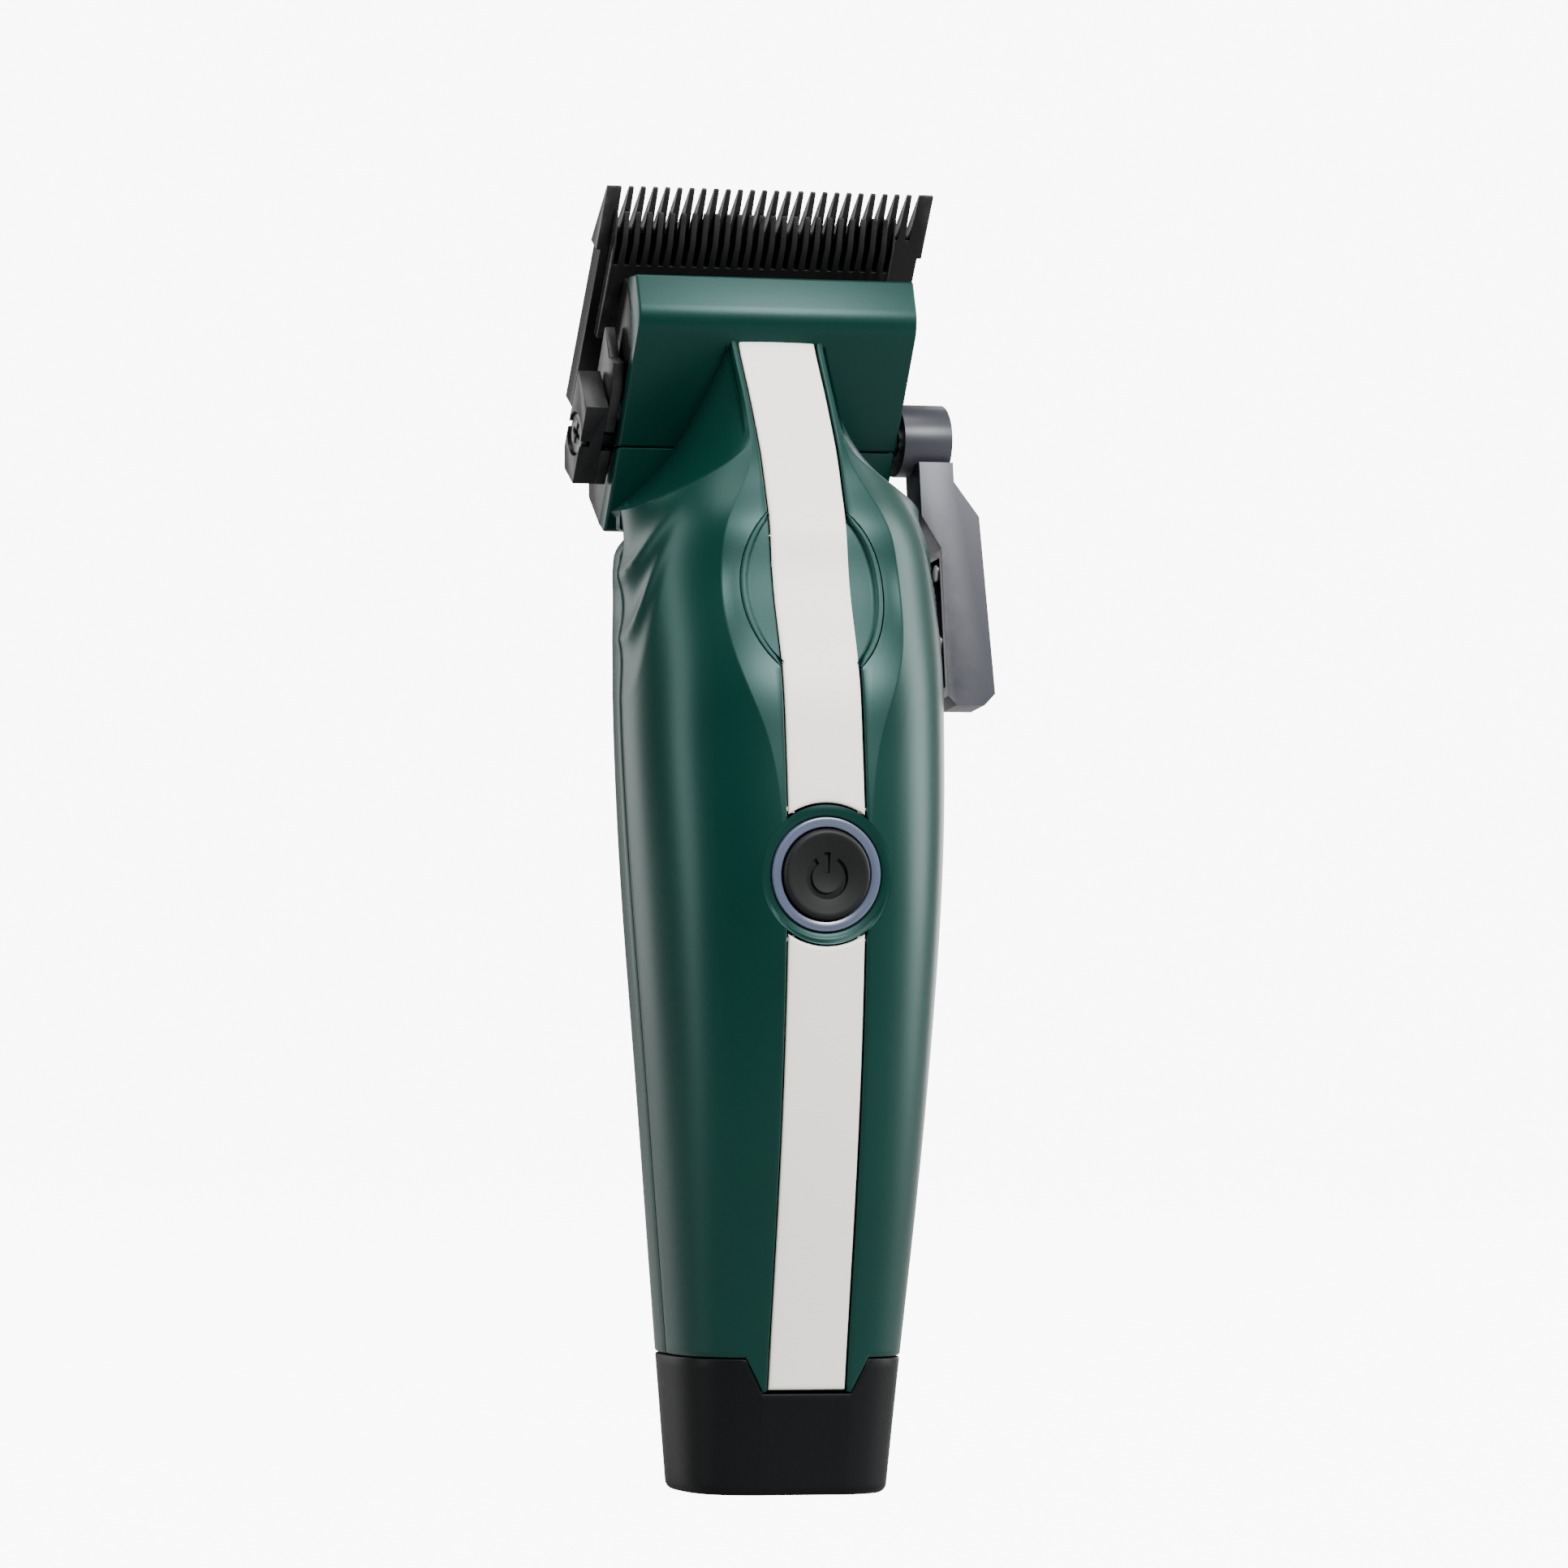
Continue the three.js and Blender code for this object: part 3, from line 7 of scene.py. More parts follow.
import bmesh
import bpy
from bpy.props import FloatProperty, FloatVectorProperty, PointerProperty
from mathutils import Matrix, Vector
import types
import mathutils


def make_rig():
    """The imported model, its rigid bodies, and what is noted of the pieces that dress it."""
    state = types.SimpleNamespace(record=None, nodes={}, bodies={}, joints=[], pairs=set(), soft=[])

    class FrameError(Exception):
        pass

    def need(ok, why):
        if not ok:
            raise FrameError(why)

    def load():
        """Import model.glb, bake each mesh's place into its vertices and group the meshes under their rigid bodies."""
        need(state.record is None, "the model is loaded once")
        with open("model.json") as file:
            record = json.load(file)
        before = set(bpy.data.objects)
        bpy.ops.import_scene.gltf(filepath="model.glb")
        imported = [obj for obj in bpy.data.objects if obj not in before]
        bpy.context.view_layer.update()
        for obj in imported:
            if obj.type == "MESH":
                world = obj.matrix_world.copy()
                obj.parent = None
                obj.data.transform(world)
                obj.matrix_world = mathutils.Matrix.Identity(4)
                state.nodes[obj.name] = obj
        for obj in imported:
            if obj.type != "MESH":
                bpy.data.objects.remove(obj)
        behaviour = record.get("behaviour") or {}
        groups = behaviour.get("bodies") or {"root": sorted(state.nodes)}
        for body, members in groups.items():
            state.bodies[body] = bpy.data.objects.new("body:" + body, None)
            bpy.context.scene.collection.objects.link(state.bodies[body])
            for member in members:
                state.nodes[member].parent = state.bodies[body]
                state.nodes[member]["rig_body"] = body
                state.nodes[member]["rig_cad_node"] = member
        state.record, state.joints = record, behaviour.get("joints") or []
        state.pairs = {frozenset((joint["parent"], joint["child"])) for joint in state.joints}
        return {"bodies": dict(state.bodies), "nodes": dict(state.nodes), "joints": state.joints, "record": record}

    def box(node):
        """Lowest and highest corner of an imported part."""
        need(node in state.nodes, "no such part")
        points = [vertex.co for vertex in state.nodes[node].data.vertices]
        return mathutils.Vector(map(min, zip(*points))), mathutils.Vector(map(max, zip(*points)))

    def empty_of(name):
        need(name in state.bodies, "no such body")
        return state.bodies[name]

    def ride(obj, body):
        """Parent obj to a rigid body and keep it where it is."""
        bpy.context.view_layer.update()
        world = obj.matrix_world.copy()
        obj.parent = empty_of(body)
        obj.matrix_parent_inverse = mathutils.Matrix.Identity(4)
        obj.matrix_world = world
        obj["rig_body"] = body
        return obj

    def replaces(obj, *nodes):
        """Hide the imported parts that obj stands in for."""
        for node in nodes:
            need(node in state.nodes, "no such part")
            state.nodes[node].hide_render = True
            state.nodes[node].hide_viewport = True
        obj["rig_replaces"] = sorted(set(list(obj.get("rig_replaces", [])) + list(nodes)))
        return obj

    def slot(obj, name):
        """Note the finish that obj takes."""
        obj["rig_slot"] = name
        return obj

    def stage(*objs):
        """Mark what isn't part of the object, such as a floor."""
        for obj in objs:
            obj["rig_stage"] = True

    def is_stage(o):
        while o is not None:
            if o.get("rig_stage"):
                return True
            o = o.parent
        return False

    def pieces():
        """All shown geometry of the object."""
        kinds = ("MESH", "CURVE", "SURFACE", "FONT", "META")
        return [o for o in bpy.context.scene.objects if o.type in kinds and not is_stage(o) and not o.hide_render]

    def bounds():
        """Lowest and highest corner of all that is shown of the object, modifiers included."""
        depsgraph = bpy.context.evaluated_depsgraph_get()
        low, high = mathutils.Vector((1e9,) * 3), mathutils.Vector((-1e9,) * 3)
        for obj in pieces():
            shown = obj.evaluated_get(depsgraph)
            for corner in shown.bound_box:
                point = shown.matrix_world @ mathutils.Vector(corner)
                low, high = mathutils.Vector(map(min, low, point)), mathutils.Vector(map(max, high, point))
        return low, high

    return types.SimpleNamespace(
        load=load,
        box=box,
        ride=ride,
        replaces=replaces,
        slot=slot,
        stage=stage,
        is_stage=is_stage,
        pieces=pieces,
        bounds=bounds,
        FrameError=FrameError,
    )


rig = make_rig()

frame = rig.load()
CAD_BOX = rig.bounds()

bl_info = {
    "name": "Hair clipper",
    "version": (1, 0, 0),
    "blender": (4, 5, 0),
    "location": "View3D > Sidebar > Clipper",
    "description": "Builds the visible pieces and finishes of a cordless hair clipper",
    "category": "Add Mesh",
}

MM = 0.001


# ------------------------------------------------------------------ places from the frame

def low(node):
    """Lowest corner of a node of the frame, in millimetres."""
    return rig.box(node)[0] / MM


def high(node):
    """Highest corner of a node of the frame, in millimetres."""
    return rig.box(node)[1] / MM


def middle(node):
    return (low(node) + high(node)) / 2


HEAD_LEAN = math.radians(30)
BLADE_THICKNESS = 3.0
HEAD_DEPTH = 17.0
NOMINAL_SHOULDER = 131.0
NOMINAL_HALF_WIDTH = 22.1
NOMINAL_FRONT = 18.45
REAR_SHELL_DROP = 2.8

CAP_TOP = high("end_cap").z
SHELL_TOP = high("rear_shell").z
SHOULDER = SHELL_TOP + REAR_SHELL_DROP
HALF_WIDTH = high("front_shell").x
FRONT_REACH = -low("power_button").y
BUTTON_Z = middle("power_button").z
RING_RADIUS = high("light_ring").x
BUTTON_RADIUS = high("power_button").x
DISH_RADIUS = RING_RADIUS + 1.65
THUMB = middle("thumb_rest")
THUMB_HALF_WIDTH = high("thumb_rest").x
THUMB_HALF_HEIGHT = high("thumb_rest").z - THUMB.z
STRIPE_HALF = high("upper_stripe").x
STRIPE_TOP = high("upper_stripe").z
STRIPE_BOTTOM = low("lower_stripe").z
SEAM_Z = (low("head_cover").z + high("head_base").z) / 2
HEAD_HALF = high("head_cover").x
HEEL_Y = high("fixed_blade").y
HEEL_Z = low("fixed_blade").z + BLADE_THICKNESS * math.sin(HEAD_LEAN)

HEAD = Matrix.Translation((0, HEEL_Y, HEEL_Z)) @ Matrix.Rotation(HEAD_LEAN, 4, "X")


# ------------------------------------------------------------------ small maths

def clamp(value, lowest=0.0, highest=1.0):
    return min(max(value, lowest), highest)


def mix(a, b, share):
    return a + (b - a) * share


def smooth_step(start, end, value):
    share = clamp((value - start) / (end - start))
    return share * share * (3 - 2 * share)


def natural_curve(points):
    """Smooth curve through (place, value) points, straight-ended."""
    places = [p[0] for p in points]
    values = [p[1] for p in points]
    last = len(points) - 1
    bend = [0.0] * (last + 1)
    upper = [0.0] * (last + 1)
    right = [0.0] * (last + 1)
    for i in range(1, last):
        before = places[i] - places[i - 1]
        after = places[i + 1] - places[i]
        turn = (values[i + 1] - values[i]) / after - (values[i] - values[i - 1]) / before
        pivot = 2 * (before + after) - before * upper[i - 1]
        upper[i] = after / pivot
        right[i] = (6 * turn - before * right[i - 1]) / pivot
    for i in range(last - 1, 0, -1):
        bend[i] = right[i] - upper[i] * bend[i + 1]

    def value_at(place):
        place = clamp(place, places[0], places[-1])
        i = min(max(bisect.bisect_right(places, place) - 1, 0), last - 1)
        span = places[i + 1] - places[i]
        a = (places[i + 1] - place) / span
        b = 1 - a
        sag = ((a**3 - a) * bend[i] + (b**3 - b) * bend[i + 1]) * span * span / 6
        return a * values[i] + b * values[i + 1] + sag

    return value_at


def handle_curve(points, size=1.0):
    """A curve along the handle, stretched from its nominal height to the frame's."""
    stretch = SHOULDER / NOMINAL_SHOULDER
    return natural_curve([(z * stretch, value * size) for z, value in points])


# ------------------------------------------------------------------ outline of the handle

WIDE = HALF_WIDTH / NOMINAL_HALF_WIDTH
DEEP = FRONT_REACH / NOMINAL_FRONT

front_at = handle_curve(
    [(0, -10.9), (18.4, -13.0), (36.5, -15.45), (55, -17.45), (70, -18.3), (82, -18.4), (93, -17.6),
     (101, -16.5), (108, -15.3), (114, -13.3), (119, -11.3), (124, -9.9), (129, -8.9), (134, -6.9),
     (138.7, -4.8), (143, -2.2), (147.4, 0.7), (151.7, 3.8), (155.5, 6.2)],
    DEEP,
)
half_width_at = handle_curve(
    [(0, 14.2), (18.4, 15.75), (36.5, 17.4), (58, 19.3), (80, 21.0), (95, 21.8), (108, 22.05),
     (119, 21.95), (128, 21.4), (131, 20.8), (136, 18.5), (142, 14.6)],
    WIDE,
)
widest_at = handle_curve(
    [(0, 0), (30, 0), (55, 0.1), (80, 1.4), (95, 2.6), (108, 4.0), (119, 5.6), (128, 7.8), (131, 8.6),
     (142, 10.6)],
    DEEP,
)
back_at = handle_curve(
    [(0, 11.3), (18.4, 13.2), (36.5, 14.3), (58, 16.1), (80, 18.1), (95, 19.1), (108, 19.8), (119, 20.1),
     (131, 20.4), (142, 20.6)],
    DEEP,
)
squareness_at = handle_curve(
    [(0, 3.1), (18.4, 3.0), (36.5, 2.85), (58, 2.65), (80, 2.55), (95, 2.45), (119, 2.3), (131, 2.1),
     (142, 2.0)],
)
facet_curve = handle_curve(
    [(0, 6.1), (60, 6.1), (88, 6.2), (96, 6.9), (102, 8.3), (107, 10.2), (112, 11.8), (119, 12.6),
     (124, 12.4), (129.2, 11.4), (132.8, 9.6), (136.5, 7.5), (141, 6.5), (148, 6.35), (156, 6.4)],
)

CHANNEL_GAP = 0.28
CHANNEL_HALF = STRIPE_HALF + CHANNEL_GAP
FACET_CROWN = 0.7
FACET_CROWN_REACH = 7.0


def facet_at(z):
    """Half width of the band beside the inlay, never narrower than the inlay's channel."""
    return max(facet_curve(z), CHANNEL_HALF + 0.4)


def facet_y(x, z):
    """Depth of the flat band on either side of the stripe."""
    out = clamp((abs(x) - STRIPE_HALF) / FACET_CROWN_REACH)
    return front_at(z) + FACET_CROWN * out * out


def barrel(angle, z):
    """Point of the rounded front half; the angle runs from the middle to the side seam."""
    half = half_width_at(z)
    power = 2 / squareness_at(z)
    edge = facet_at(z)
    seam = widest_at(z)
    start = math.asin(clamp(edge / half) ** (1 / power))
    depth = (seam - facet_y(edge, z)) / math.cos(start) ** power
    turn = mix(start, math.pi / 2, angle)
    return half * math.sin(turn) ** power, seam - depth * max(math.cos(turn), 0.0) ** power


def surface_y(x, z):
    """Depth of the front surface at a place seen from the front."""
    edge = facet_at(z)
    if abs(x) <= edge:
        return facet_y(x, z)
    square = squareness_at(z)
    half = half_width_at(z)
    seam = widest_at(z)
    depth = (seam - facet_y(edge, z)) / (1 - (edge / half) ** square) ** (1 / square)
    return seam - depth * max(1 - (abs(x) / half) ** square, 0.0) ** (1 / square)


FLUTE_PITCH = 8.6
FLUTE_DEPTH = 0.85
FLUTE_COUNT = 3.4
CREST_RISE = 9.0


def crest_z(angle):
    """Height of the edge where the barrel ends under the head."""
    return SHOULDER + CREST_RISE * (1 - angle) ** 2.1


def flute(below_crest, angle):
    """Depth of the finger flutes, which fan out from the ridge to the side seam."""
    pitch = FLUTE_PITCH * mix(0.3, 1.0, smooth_step(0.15, 1.0, angle))
    share = below_crest / pitch
    if share <= 0 or share >= FLUTE_COUNT:
        return 0.0
    fade = (1 - smooth_step(1.2, FLUTE_COUNT, share)) * smooth_step(0.3, 0.85, angle)
    return FLUTE_DEPTH * fade * math.sin(math.pi * (share % 1.0)) ** 0.85


# ------------------------------------------------------------------ meshes

def new_object(name, mesh, body, slot, finish, nodes=()):
    piece = bpy.data.objects.new(name, mesh)
    bpy.context.scene.collection.objects.link(piece)
    piece.data.materials.clear()
    piece.data.materials.append(finish)
    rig.ride(piece, body)
    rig.slot(piece, slot)
    if nodes:
        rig.replaces(piece, *nodes)
    return piece


def mesh_from(name, points, faces):
    mesh = bpy.data.meshes.new(name)
    mesh.from_pydata([Vector(p) * MM for p in points], [], faces)
    mesh.validate()
    return mesh


def grid_mesh(name, rows, closed=False, ends=False):
    """Quads between rows of points; closed joins each row's ends, ends caps the first and last row."""
    count = len(rows[0])
    points = [p for row in rows for p in row]
    faces = []
    for r in range(len(rows) - 1):
        for c in range(count if closed else count - 1):
            d = (c + 1) % count
            faces.append((r * count + c, r * count + d, (r + 1) * count + d, (r + 1) * count + c))
    if ends:
        faces += [tuple(range(count)), tuple(range((len(rows) - 1) * count, len(rows) * count))]
    return mesh_from(name, points, faces)


def prism_mesh(name, outline, start, end, place):
    """Closed solid: an outline swept between two distances; place maps (u, v, distance) to a point."""
    count = len(outline)
    points = [place(u, v, start) for u, v in outline] + [place(u, v, end) for u, v in outline]
    faces = [tuple(range(count)), tuple(range(2 * count - 1, count - 1, -1))]
    for i in range(count):
        j = (i + 1) % count
        faces.append((i, i + count, j + count, j))
    mesh = mesh_from(name, points, faces)
    tidy_normals(mesh)
    return mesh


def tidy_normals(mesh, merge=0.0):
    work = bmesh.new()
    work.from_mesh(mesh)
    if merge:
        bmesh.ops.remove_doubles(work, verts=work.verts, dist=merge)
    bmesh.ops.recalc_face_normals(work, faces=work.faces)
    work.to_mesh(mesh)
    work.free()


def apply_modifiers(piece):
    """Turns a piece's modifiers into its mesh."""
    depsgraph = bpy.context.evaluated_depsgraph_get()
    mesh = bpy.data.meshes.new_from_object(piece.evaluated_get(depsgraph))
    old = piece.data
    piece.modifiers.clear()
    piece.data = mesh
    mesh.name = old.name
    bpy.data.meshes.remove(old)


def shade(piece, angle=32):
    mesh = piece.data
    mesh.polygons.foreach_set("use_smooth", [True] * len(mesh.polygons))
    mesh.set_sharp_from_angle(angle=math.radians(angle))


def thicken(piece, depth):
    wall = piece.modifiers.new("wall", "SOLIDIFY")
    wall.thickness = depth * MM
    wall.offset = -1
    wall.use_even_offset = False


def round_edges(piece, width, segments=3, angle=55):
    bevel = piece.modifiers.new("edge", "BEVEL")
    bevel.width = width * MM
    bevel.segments = segments
    bevel.limit_method = "ANGLE"
    bevel.angle_limit = math.radians(angle)
    bevel.use_clamp_overlap = True
    bevel.harden_normals = False


def boolean(piece, tool_mesh, folded=False):
    """Cuts a mesh tool out of a piece and applies it; folded copes with a wall that meets itself."""
    tool = bpy.data.objects.new("tool", tool_mesh)
    bpy.context.scene.collection.objects.link(tool)
    step = piece.modifiers.new("cut", "BOOLEAN")
    step.operation = "DIFFERENCE"
    step.solver = "EXACT"
    step.use_self = folded
    step.object = tool
    apply_modifiers(piece)
    bpy.data.objects.remove(tool)
    bpy.data.meshes.remove(tool_mesh)


def joined_meshes(name, meshes):
    """One mesh from several that don't touch."""
    work = bmesh.new()
    for mesh in meshes:
        work.from_mesh(mesh)
        bpy.data.meshes.remove(mesh)
    out = bpy.data.meshes.new(name)
    work.to_mesh(out)
    work.free()
    return out


def along_y(x, z, y):
    return (x, y, z)


def along_z(x, y, z):
    return (x, y, z)


def head_point(depth, up, x):
    """From the head's own frame, with the blade's heel as its origin."""
    return tuple(HEAD @ Vector((x, depth, up)))


def circle(radius, centre_u, centre_v, steps, stretch=1.0):
    turns = [2 * math.pi * i / steps for i in range(steps)]
    return [(centre_u + radius * math.cos(t), centre_v + radius * stretch * math.sin(t)) for t in turns]


def rounded_outline(corners, steps=8):
    """Outline with each corner (u, v, radius) turned into an arc."""
    points = []
    count = len(corners)
    for i, (u, v, radius) in enumerate(corners):
        here = Vector((u, v))
        if radius <= 0:
            points.append((u, v))
            continue
        before = (Vector(corners[i - 1][:2]) - here).normalized()
        after = (Vector(corners[(i + 1) % count][:2]) - here).normalized()
        half = math.acos(clamp(before.dot(after), -1, 1)) / 2
        reach = radius / math.tan(half)
        centre = here + (before + after).normalized() * (radius / math.sin(half))
        first = here + before * reach - centre
        last = here + after * reach - centre
        for k in range(steps + 1):
            arm = first.slerp(last, k / steps) * radius
            points.append(tuple(centre + arm))
    return points


def lathe_mesh(name, profile, steps, place):
    """Turned piece: (radius, distance) profile whose ends lie on the axis or close on themselves."""
    rows = []
    for i in range(steps):
        t = 2 * math.pi * i / steps
        rows.append([place(r * math.cos(t), r * math.sin(t), d) for r, d in profile])
    rows.append(rows[0])
    mesh = grid_mesh(name, rows)
    tidy_normals(mesh, 0.001 * MM)
    return mesh


def refined_piece(node, body, slot, finish, width, segments=2, angle=35):
    """A copy of a node of the frame, its flat facets joined up and its edges rounded."""
    name = f"{node}_fine"
    mesh = frame["nodes"][node].data.copy()
    mesh.name = name
    work = bmesh.new()
    work.from_mesh(mesh)
    bmesh.ops.remove_doubles(work, verts=work.verts, dist=0.002 * MM)
    bmesh.ops.dissolve_limit(work, angle_limit=math.radians(1.5), verts=work.verts, edges=work.edges)
    work.to_mesh(mesh)
    work.free()
    piece = new_object(name, mesh, body, slot, finish, (node,))
    round_edges(piece, width, segments, angle)
    apply_modifiers(piece)
    shade(piece)


# ------------------------------------------------------------------ shells

FACE_SLOPE = math.tan(HEAD_LEAN)
RIM = 0.14
CAP_GAP = 0.25
THUMB_GAP = 0.12
NOTCH_HALF = 6.3
NOTCH_RUN = 2.4
BEHIND = 99.0  # mark of a point round the back, past any half width


def head_face_y(z):
    """Depth of the head's sloping face at a height."""
    foot = head_point(-HEAD_DEPTH, 0, 0)
    return foot[1] - (z - foot[2]) * FACE_SLOPE


ridge_foot_at = handle_curve(
    [(131, 19.3), (134, 16.3), (139.7, 12.4), (145, 10.2), (150, 8.7), (154.8, 7.4)],
)
crease_height_at = natural_curve([(0, 1.0), (0.25, 0.72), (0.5, 0.46), (0.75, 0.2), (1, 0.0)])


def toward_core(x, y, z, depth):
    """Moves a surface point inwards, towards the middle of its section."""
    arm = Vector((x, y - widest_at(z)))
    arm = arm * (1 - depth / max(arm.length, 1e-6))
    return arm.x, arm.y + widest_at(z)


def barrel_point(angle, z, inset=0.0):
    x, y = barrel(angle, z)
    x, y = toward_core(x, y, z, inset + flute(crest_z(angle) - z, angle))
    return x, y, z


def flank_point(s, t):
    """Hollowed side of the ridge, between the shoulder's edge and the face of the head."""

    def crest(share):
        return Vector(barrel_point(share, crest_z(share)))

    def crease(share):
        z = mix(SHOULDER, STRIPE_TOP, crease_height_at(share))
        return Vector((ridge_foot_at(z), head_face_y(z) + 0.4, z))

    def ridge(share):
        z = mix(crest_z(0), STRIPE_TOP, share)
        return Vector((facet_at(z), facet_y(facet_at(z), z), z))

    def side(share):
        return crest(1).lerp(crease(1), share)

    across = crest(s).lerp(crease(s), t)
    along = ridge(t).lerp(side(t), s)
    corners = crest(0).lerp(crest(1), s).lerp(crease(0).lerp(crease(1), s), t)
    point = across + along - corners
    hollow = 16 * s * (1 - s) * t * (1 - t)
    return tuple(point + Vector((-0.7, 1.3, -0.5)) * hollow)


def notch_z(x, gap):
    """Height of the end cap's top edge, which dips under the inlay."""
    share = clamp((abs(x) - NOTCH_HALF) / NOTCH_RUN)
    return mix(STRIPE_BOTTOM - 0.55, CAP_TOP, share) + gap


def barrel_angles(steps):
    """Even steps round the barrel, and the two where the end cap's notch bends."""
    z = CAP_TOP
    half = half_width_at(z)
    square = squareness_at(z)
    start = math.asin((facet_at(z) / half) ** (square / 2))
    bends = []
    for x in (NOTCH_HALF, NOTCH_HALF + NOTCH_RUN):
        turn = math.asin((x / half) ** (square / 2))
        bends.append((turn - start) / (math.pi / 2 - start))
    even = [i / steps for i in range(1, steps)]
    even = [a for a in even if all(abs(a - b) > 0.35 / steps for b in bends)]
    return sorted([0.0, 0.012, *even, *bends, 0.992, 1.0])


def front_shell_half(side, angles):
    """Rows of one half of the front shell, from the inlay's channel out to the side seam."""
    brink = CHANNEL_HALF + 0.2

    def on_facet(share):
        def place(z):
            x = mix(brink, facet_at(z), share)
            return x, facet_y(x, z)

        return place

    channel = [
        lambda z: (0, front_at(z) + 1.25),
        lambda z: (CHANNEL_HALF, front_at(z) + 1.25),
        lambda z: (CHANNEL_HALF, front_at(z) + 0.22),
        lambda z: (CHANNEL_HALF + 0.05, front_at(z) + 0.06),
        lambda z: (brink, facet_y(brink, z)),
    ]
    facet = [on_facet(share) for share in (0.25, 0.5, 0.75, 0.96)]
    rows = []
    steps = 150
    levels = [0.0, 0.0022] + [i / steps for i in range(1, steps)] + [0.9975, 1.0]
    for level in levels:
        row = []
        rim = RIM if level == 0 else 0
        for place in channel + facet:
            x = place(CAP_TOP)[0]
            z = mix(notch_z(x, CAP_GAP), crest_z(0), level)
            x, y = place(z)
            row.append((side * x, y + rim, z))
        for angle in angles:
            x = barrel(angle, CAP_TOP)[0]
            z = mix(notch_z(x, CAP_GAP), crest_z(angle), level)
            inset = rim + (RIM if angle == 1 else 0)
            x, y, z = barrel_point(angle, z, inset)
            row.append((side * x, y, z))
        rows.append(row)
    for t in [0.012] + [i / 24 for i in range(1, 24)] + [1.0]:
        row = []
        for place in channel + facet:
            z = mix(crest_z(0), STRIPE_TOP + 0.3, t)
            x, y = place(z)
            row.append((side * x, y, z))
        for angle in angles:
            x, y, z = flank_point(angle, t)
            row.append((side * x, y, z))
        rows.append(row)
    return rows


def back_arc(z, share, inset=0.0):
    """Point round the back of the handle; the share runs from the right seam to the left one."""
    turn = math.pi * share
    power = 2 / max(squareness_at(z), 2.2)
    half = half_width_at(z)
    depth = back_at(z) - widest_at(z)
    x = half * math.copysign(abs(math.cos(turn)) ** power, math.cos(turn))
    y = widest_at(z) + depth * math.sin(turn) ** power
    return toward_core(x, y, z, inset)


def front_shell(sizes, colours):
    angles = barrel_angles(34)
    right = front_shell_half(1, angles)
    left = front_shell_half(-1, angles)
    rows = [list(reversed(l))[:-1] + r for l, r in zip(left, right)]
    name = "front_shell_skin"
    mesh = grid_mesh(name, rows)
    piece = new_object(name, mesh, "handle", "green_shell", shell_finish(colours), ("front_shell",))
    thicken(piece, sizes.shell_wall / MM)
    apply_modifiers(piece)
    dish = prism_mesh("dish", circle(DISH_RADIUS, 0, BUTTON_Z, 96), -40, 0, along_y)
    width, height = THUMB_HALF_WIDTH + THUMB_GAP, THUMB_HALF_HEIGHT + THUMB_GAP
    oval = circle(width, 0, THUMB.z, 120, height / width)
    recess = prism_mesh("recess", oval, -40, -0.5, along_y)
    boolean(piece, joined_meshes("cutters", [dish, recess]), folded=True)
    shade(piece, 60)
    shoulder_band(colours)


def shoulder_band(colours):
    """Shelf behind the shoulder that the head stands on."""
    rows = []
    profile = [(0.35, 128.35), (0.0, 128.6), (0.0, 130.2), (0.5, 130.8), (1.4, 131.0), (9.0, 131.0)]
    lift = SHOULDER - NOMINAL_SHOULDER
    for inset, z in profile:
        rows.append([(*back_arc(SHOULDER, i / 48, inset), z + lift) for i in range(49)])
    mesh = grid_mesh("shoulder_band", rows)
    tidy_normals(mesh)
    piece = new_object("shoulder_band", mesh, "handle", "green_shell", shell_finish(colours))
    thicken(piece, 1.2)
    apply_modifiers(piece)
    shade(piece, 60)


def rear_shell(sizes, colours):
    rows = []
    roll = 4.2
    top = SHELL_TOP - roll
    levels = [CAP_TOP + CAP_GAP, CAP_TOP + 2 * CAP_GAP]
    levels += [mix(CAP_TOP + 1, top, i / 100) for i in range(101)]
    columns = [0.0, 0.004] + [i / 72 for i in range(1, 72)] + [0.996, 1.0]

    def section(z, inset):
        row = []
        for share in columns:
            edge = min(share, 1 - share)
            dip = flute(SHOULDER - z, 1) * (1 - smooth_step(0.0, 0.12, edge))
            rim = RIM if share in (0.0, 1.0) else 0
            x, y = back_arc(z, share, inset + dip + rim)
            gap = 0.22 * (1 - smooth_step(0.0, 0.03, edge))
            row.append((x, y + gap, z))
        return row

    for i, z in enumerate(levels):
        rows.append(section(z, RIM if i == 0 else 0))
    for i in range(1, 9):
        turn = math.pi / 2 * i / 8
        row = section(top, roll * (1 - math.cos(turn)))
        rows.append([(x, y, top + roll * math.sin(turn)) for x, y, z in row])
    name = "rear_shell_skin"
    mesh = grid_mesh(name, rows)
    piece = new_object(name, mesh, "handle", "green_shell", shell_finish(colours), ("rear_shell",))
    thicken(piece, sizes.shell_wall / MM)
    apply_modifiers(piece)
    holes = []
    for i in range(1, 5):
        screw = f"shell_screw_{i}"
        place = middle(screw)
        radius = (high(screw).x - low(screw).x) / 2 + 0.35
        outline = circle(radius, place.x, place.z, 32)
        holes.append(prism_mesh("hole", outline, widest_at(place.z) + 1, 40, along_y))
    boolean(piece, joined_meshes("holes", holes))
    shade(piece, 60)


def cap_ring(z, inset, angles):
    """Closed section of the handle, from the left edge of the facet round to it again."""
    edge = facet_at(z)
    ring = []
    for i in range(1, 8):
        x = mix(-edge, edge, i / 8)
        ring.append((x, facet_y(x, z) + inset, x))
    for angle in angles:
        x, y = toward_core(*barrel(angle, z), z, inset)
        ring.append((x, y, barrel(angle, z)[0]))
    for i in range(1, 48):
        x, y = back_arc(z, i / 48, inset)
        ring.append((x, y, BEHIND))
    for angle in reversed(angles):
        x, y = toward_core(*barrel(angle, z), z, inset)
        ring.append((-x, y, -barrel(angle, z)[0]))
    return ring


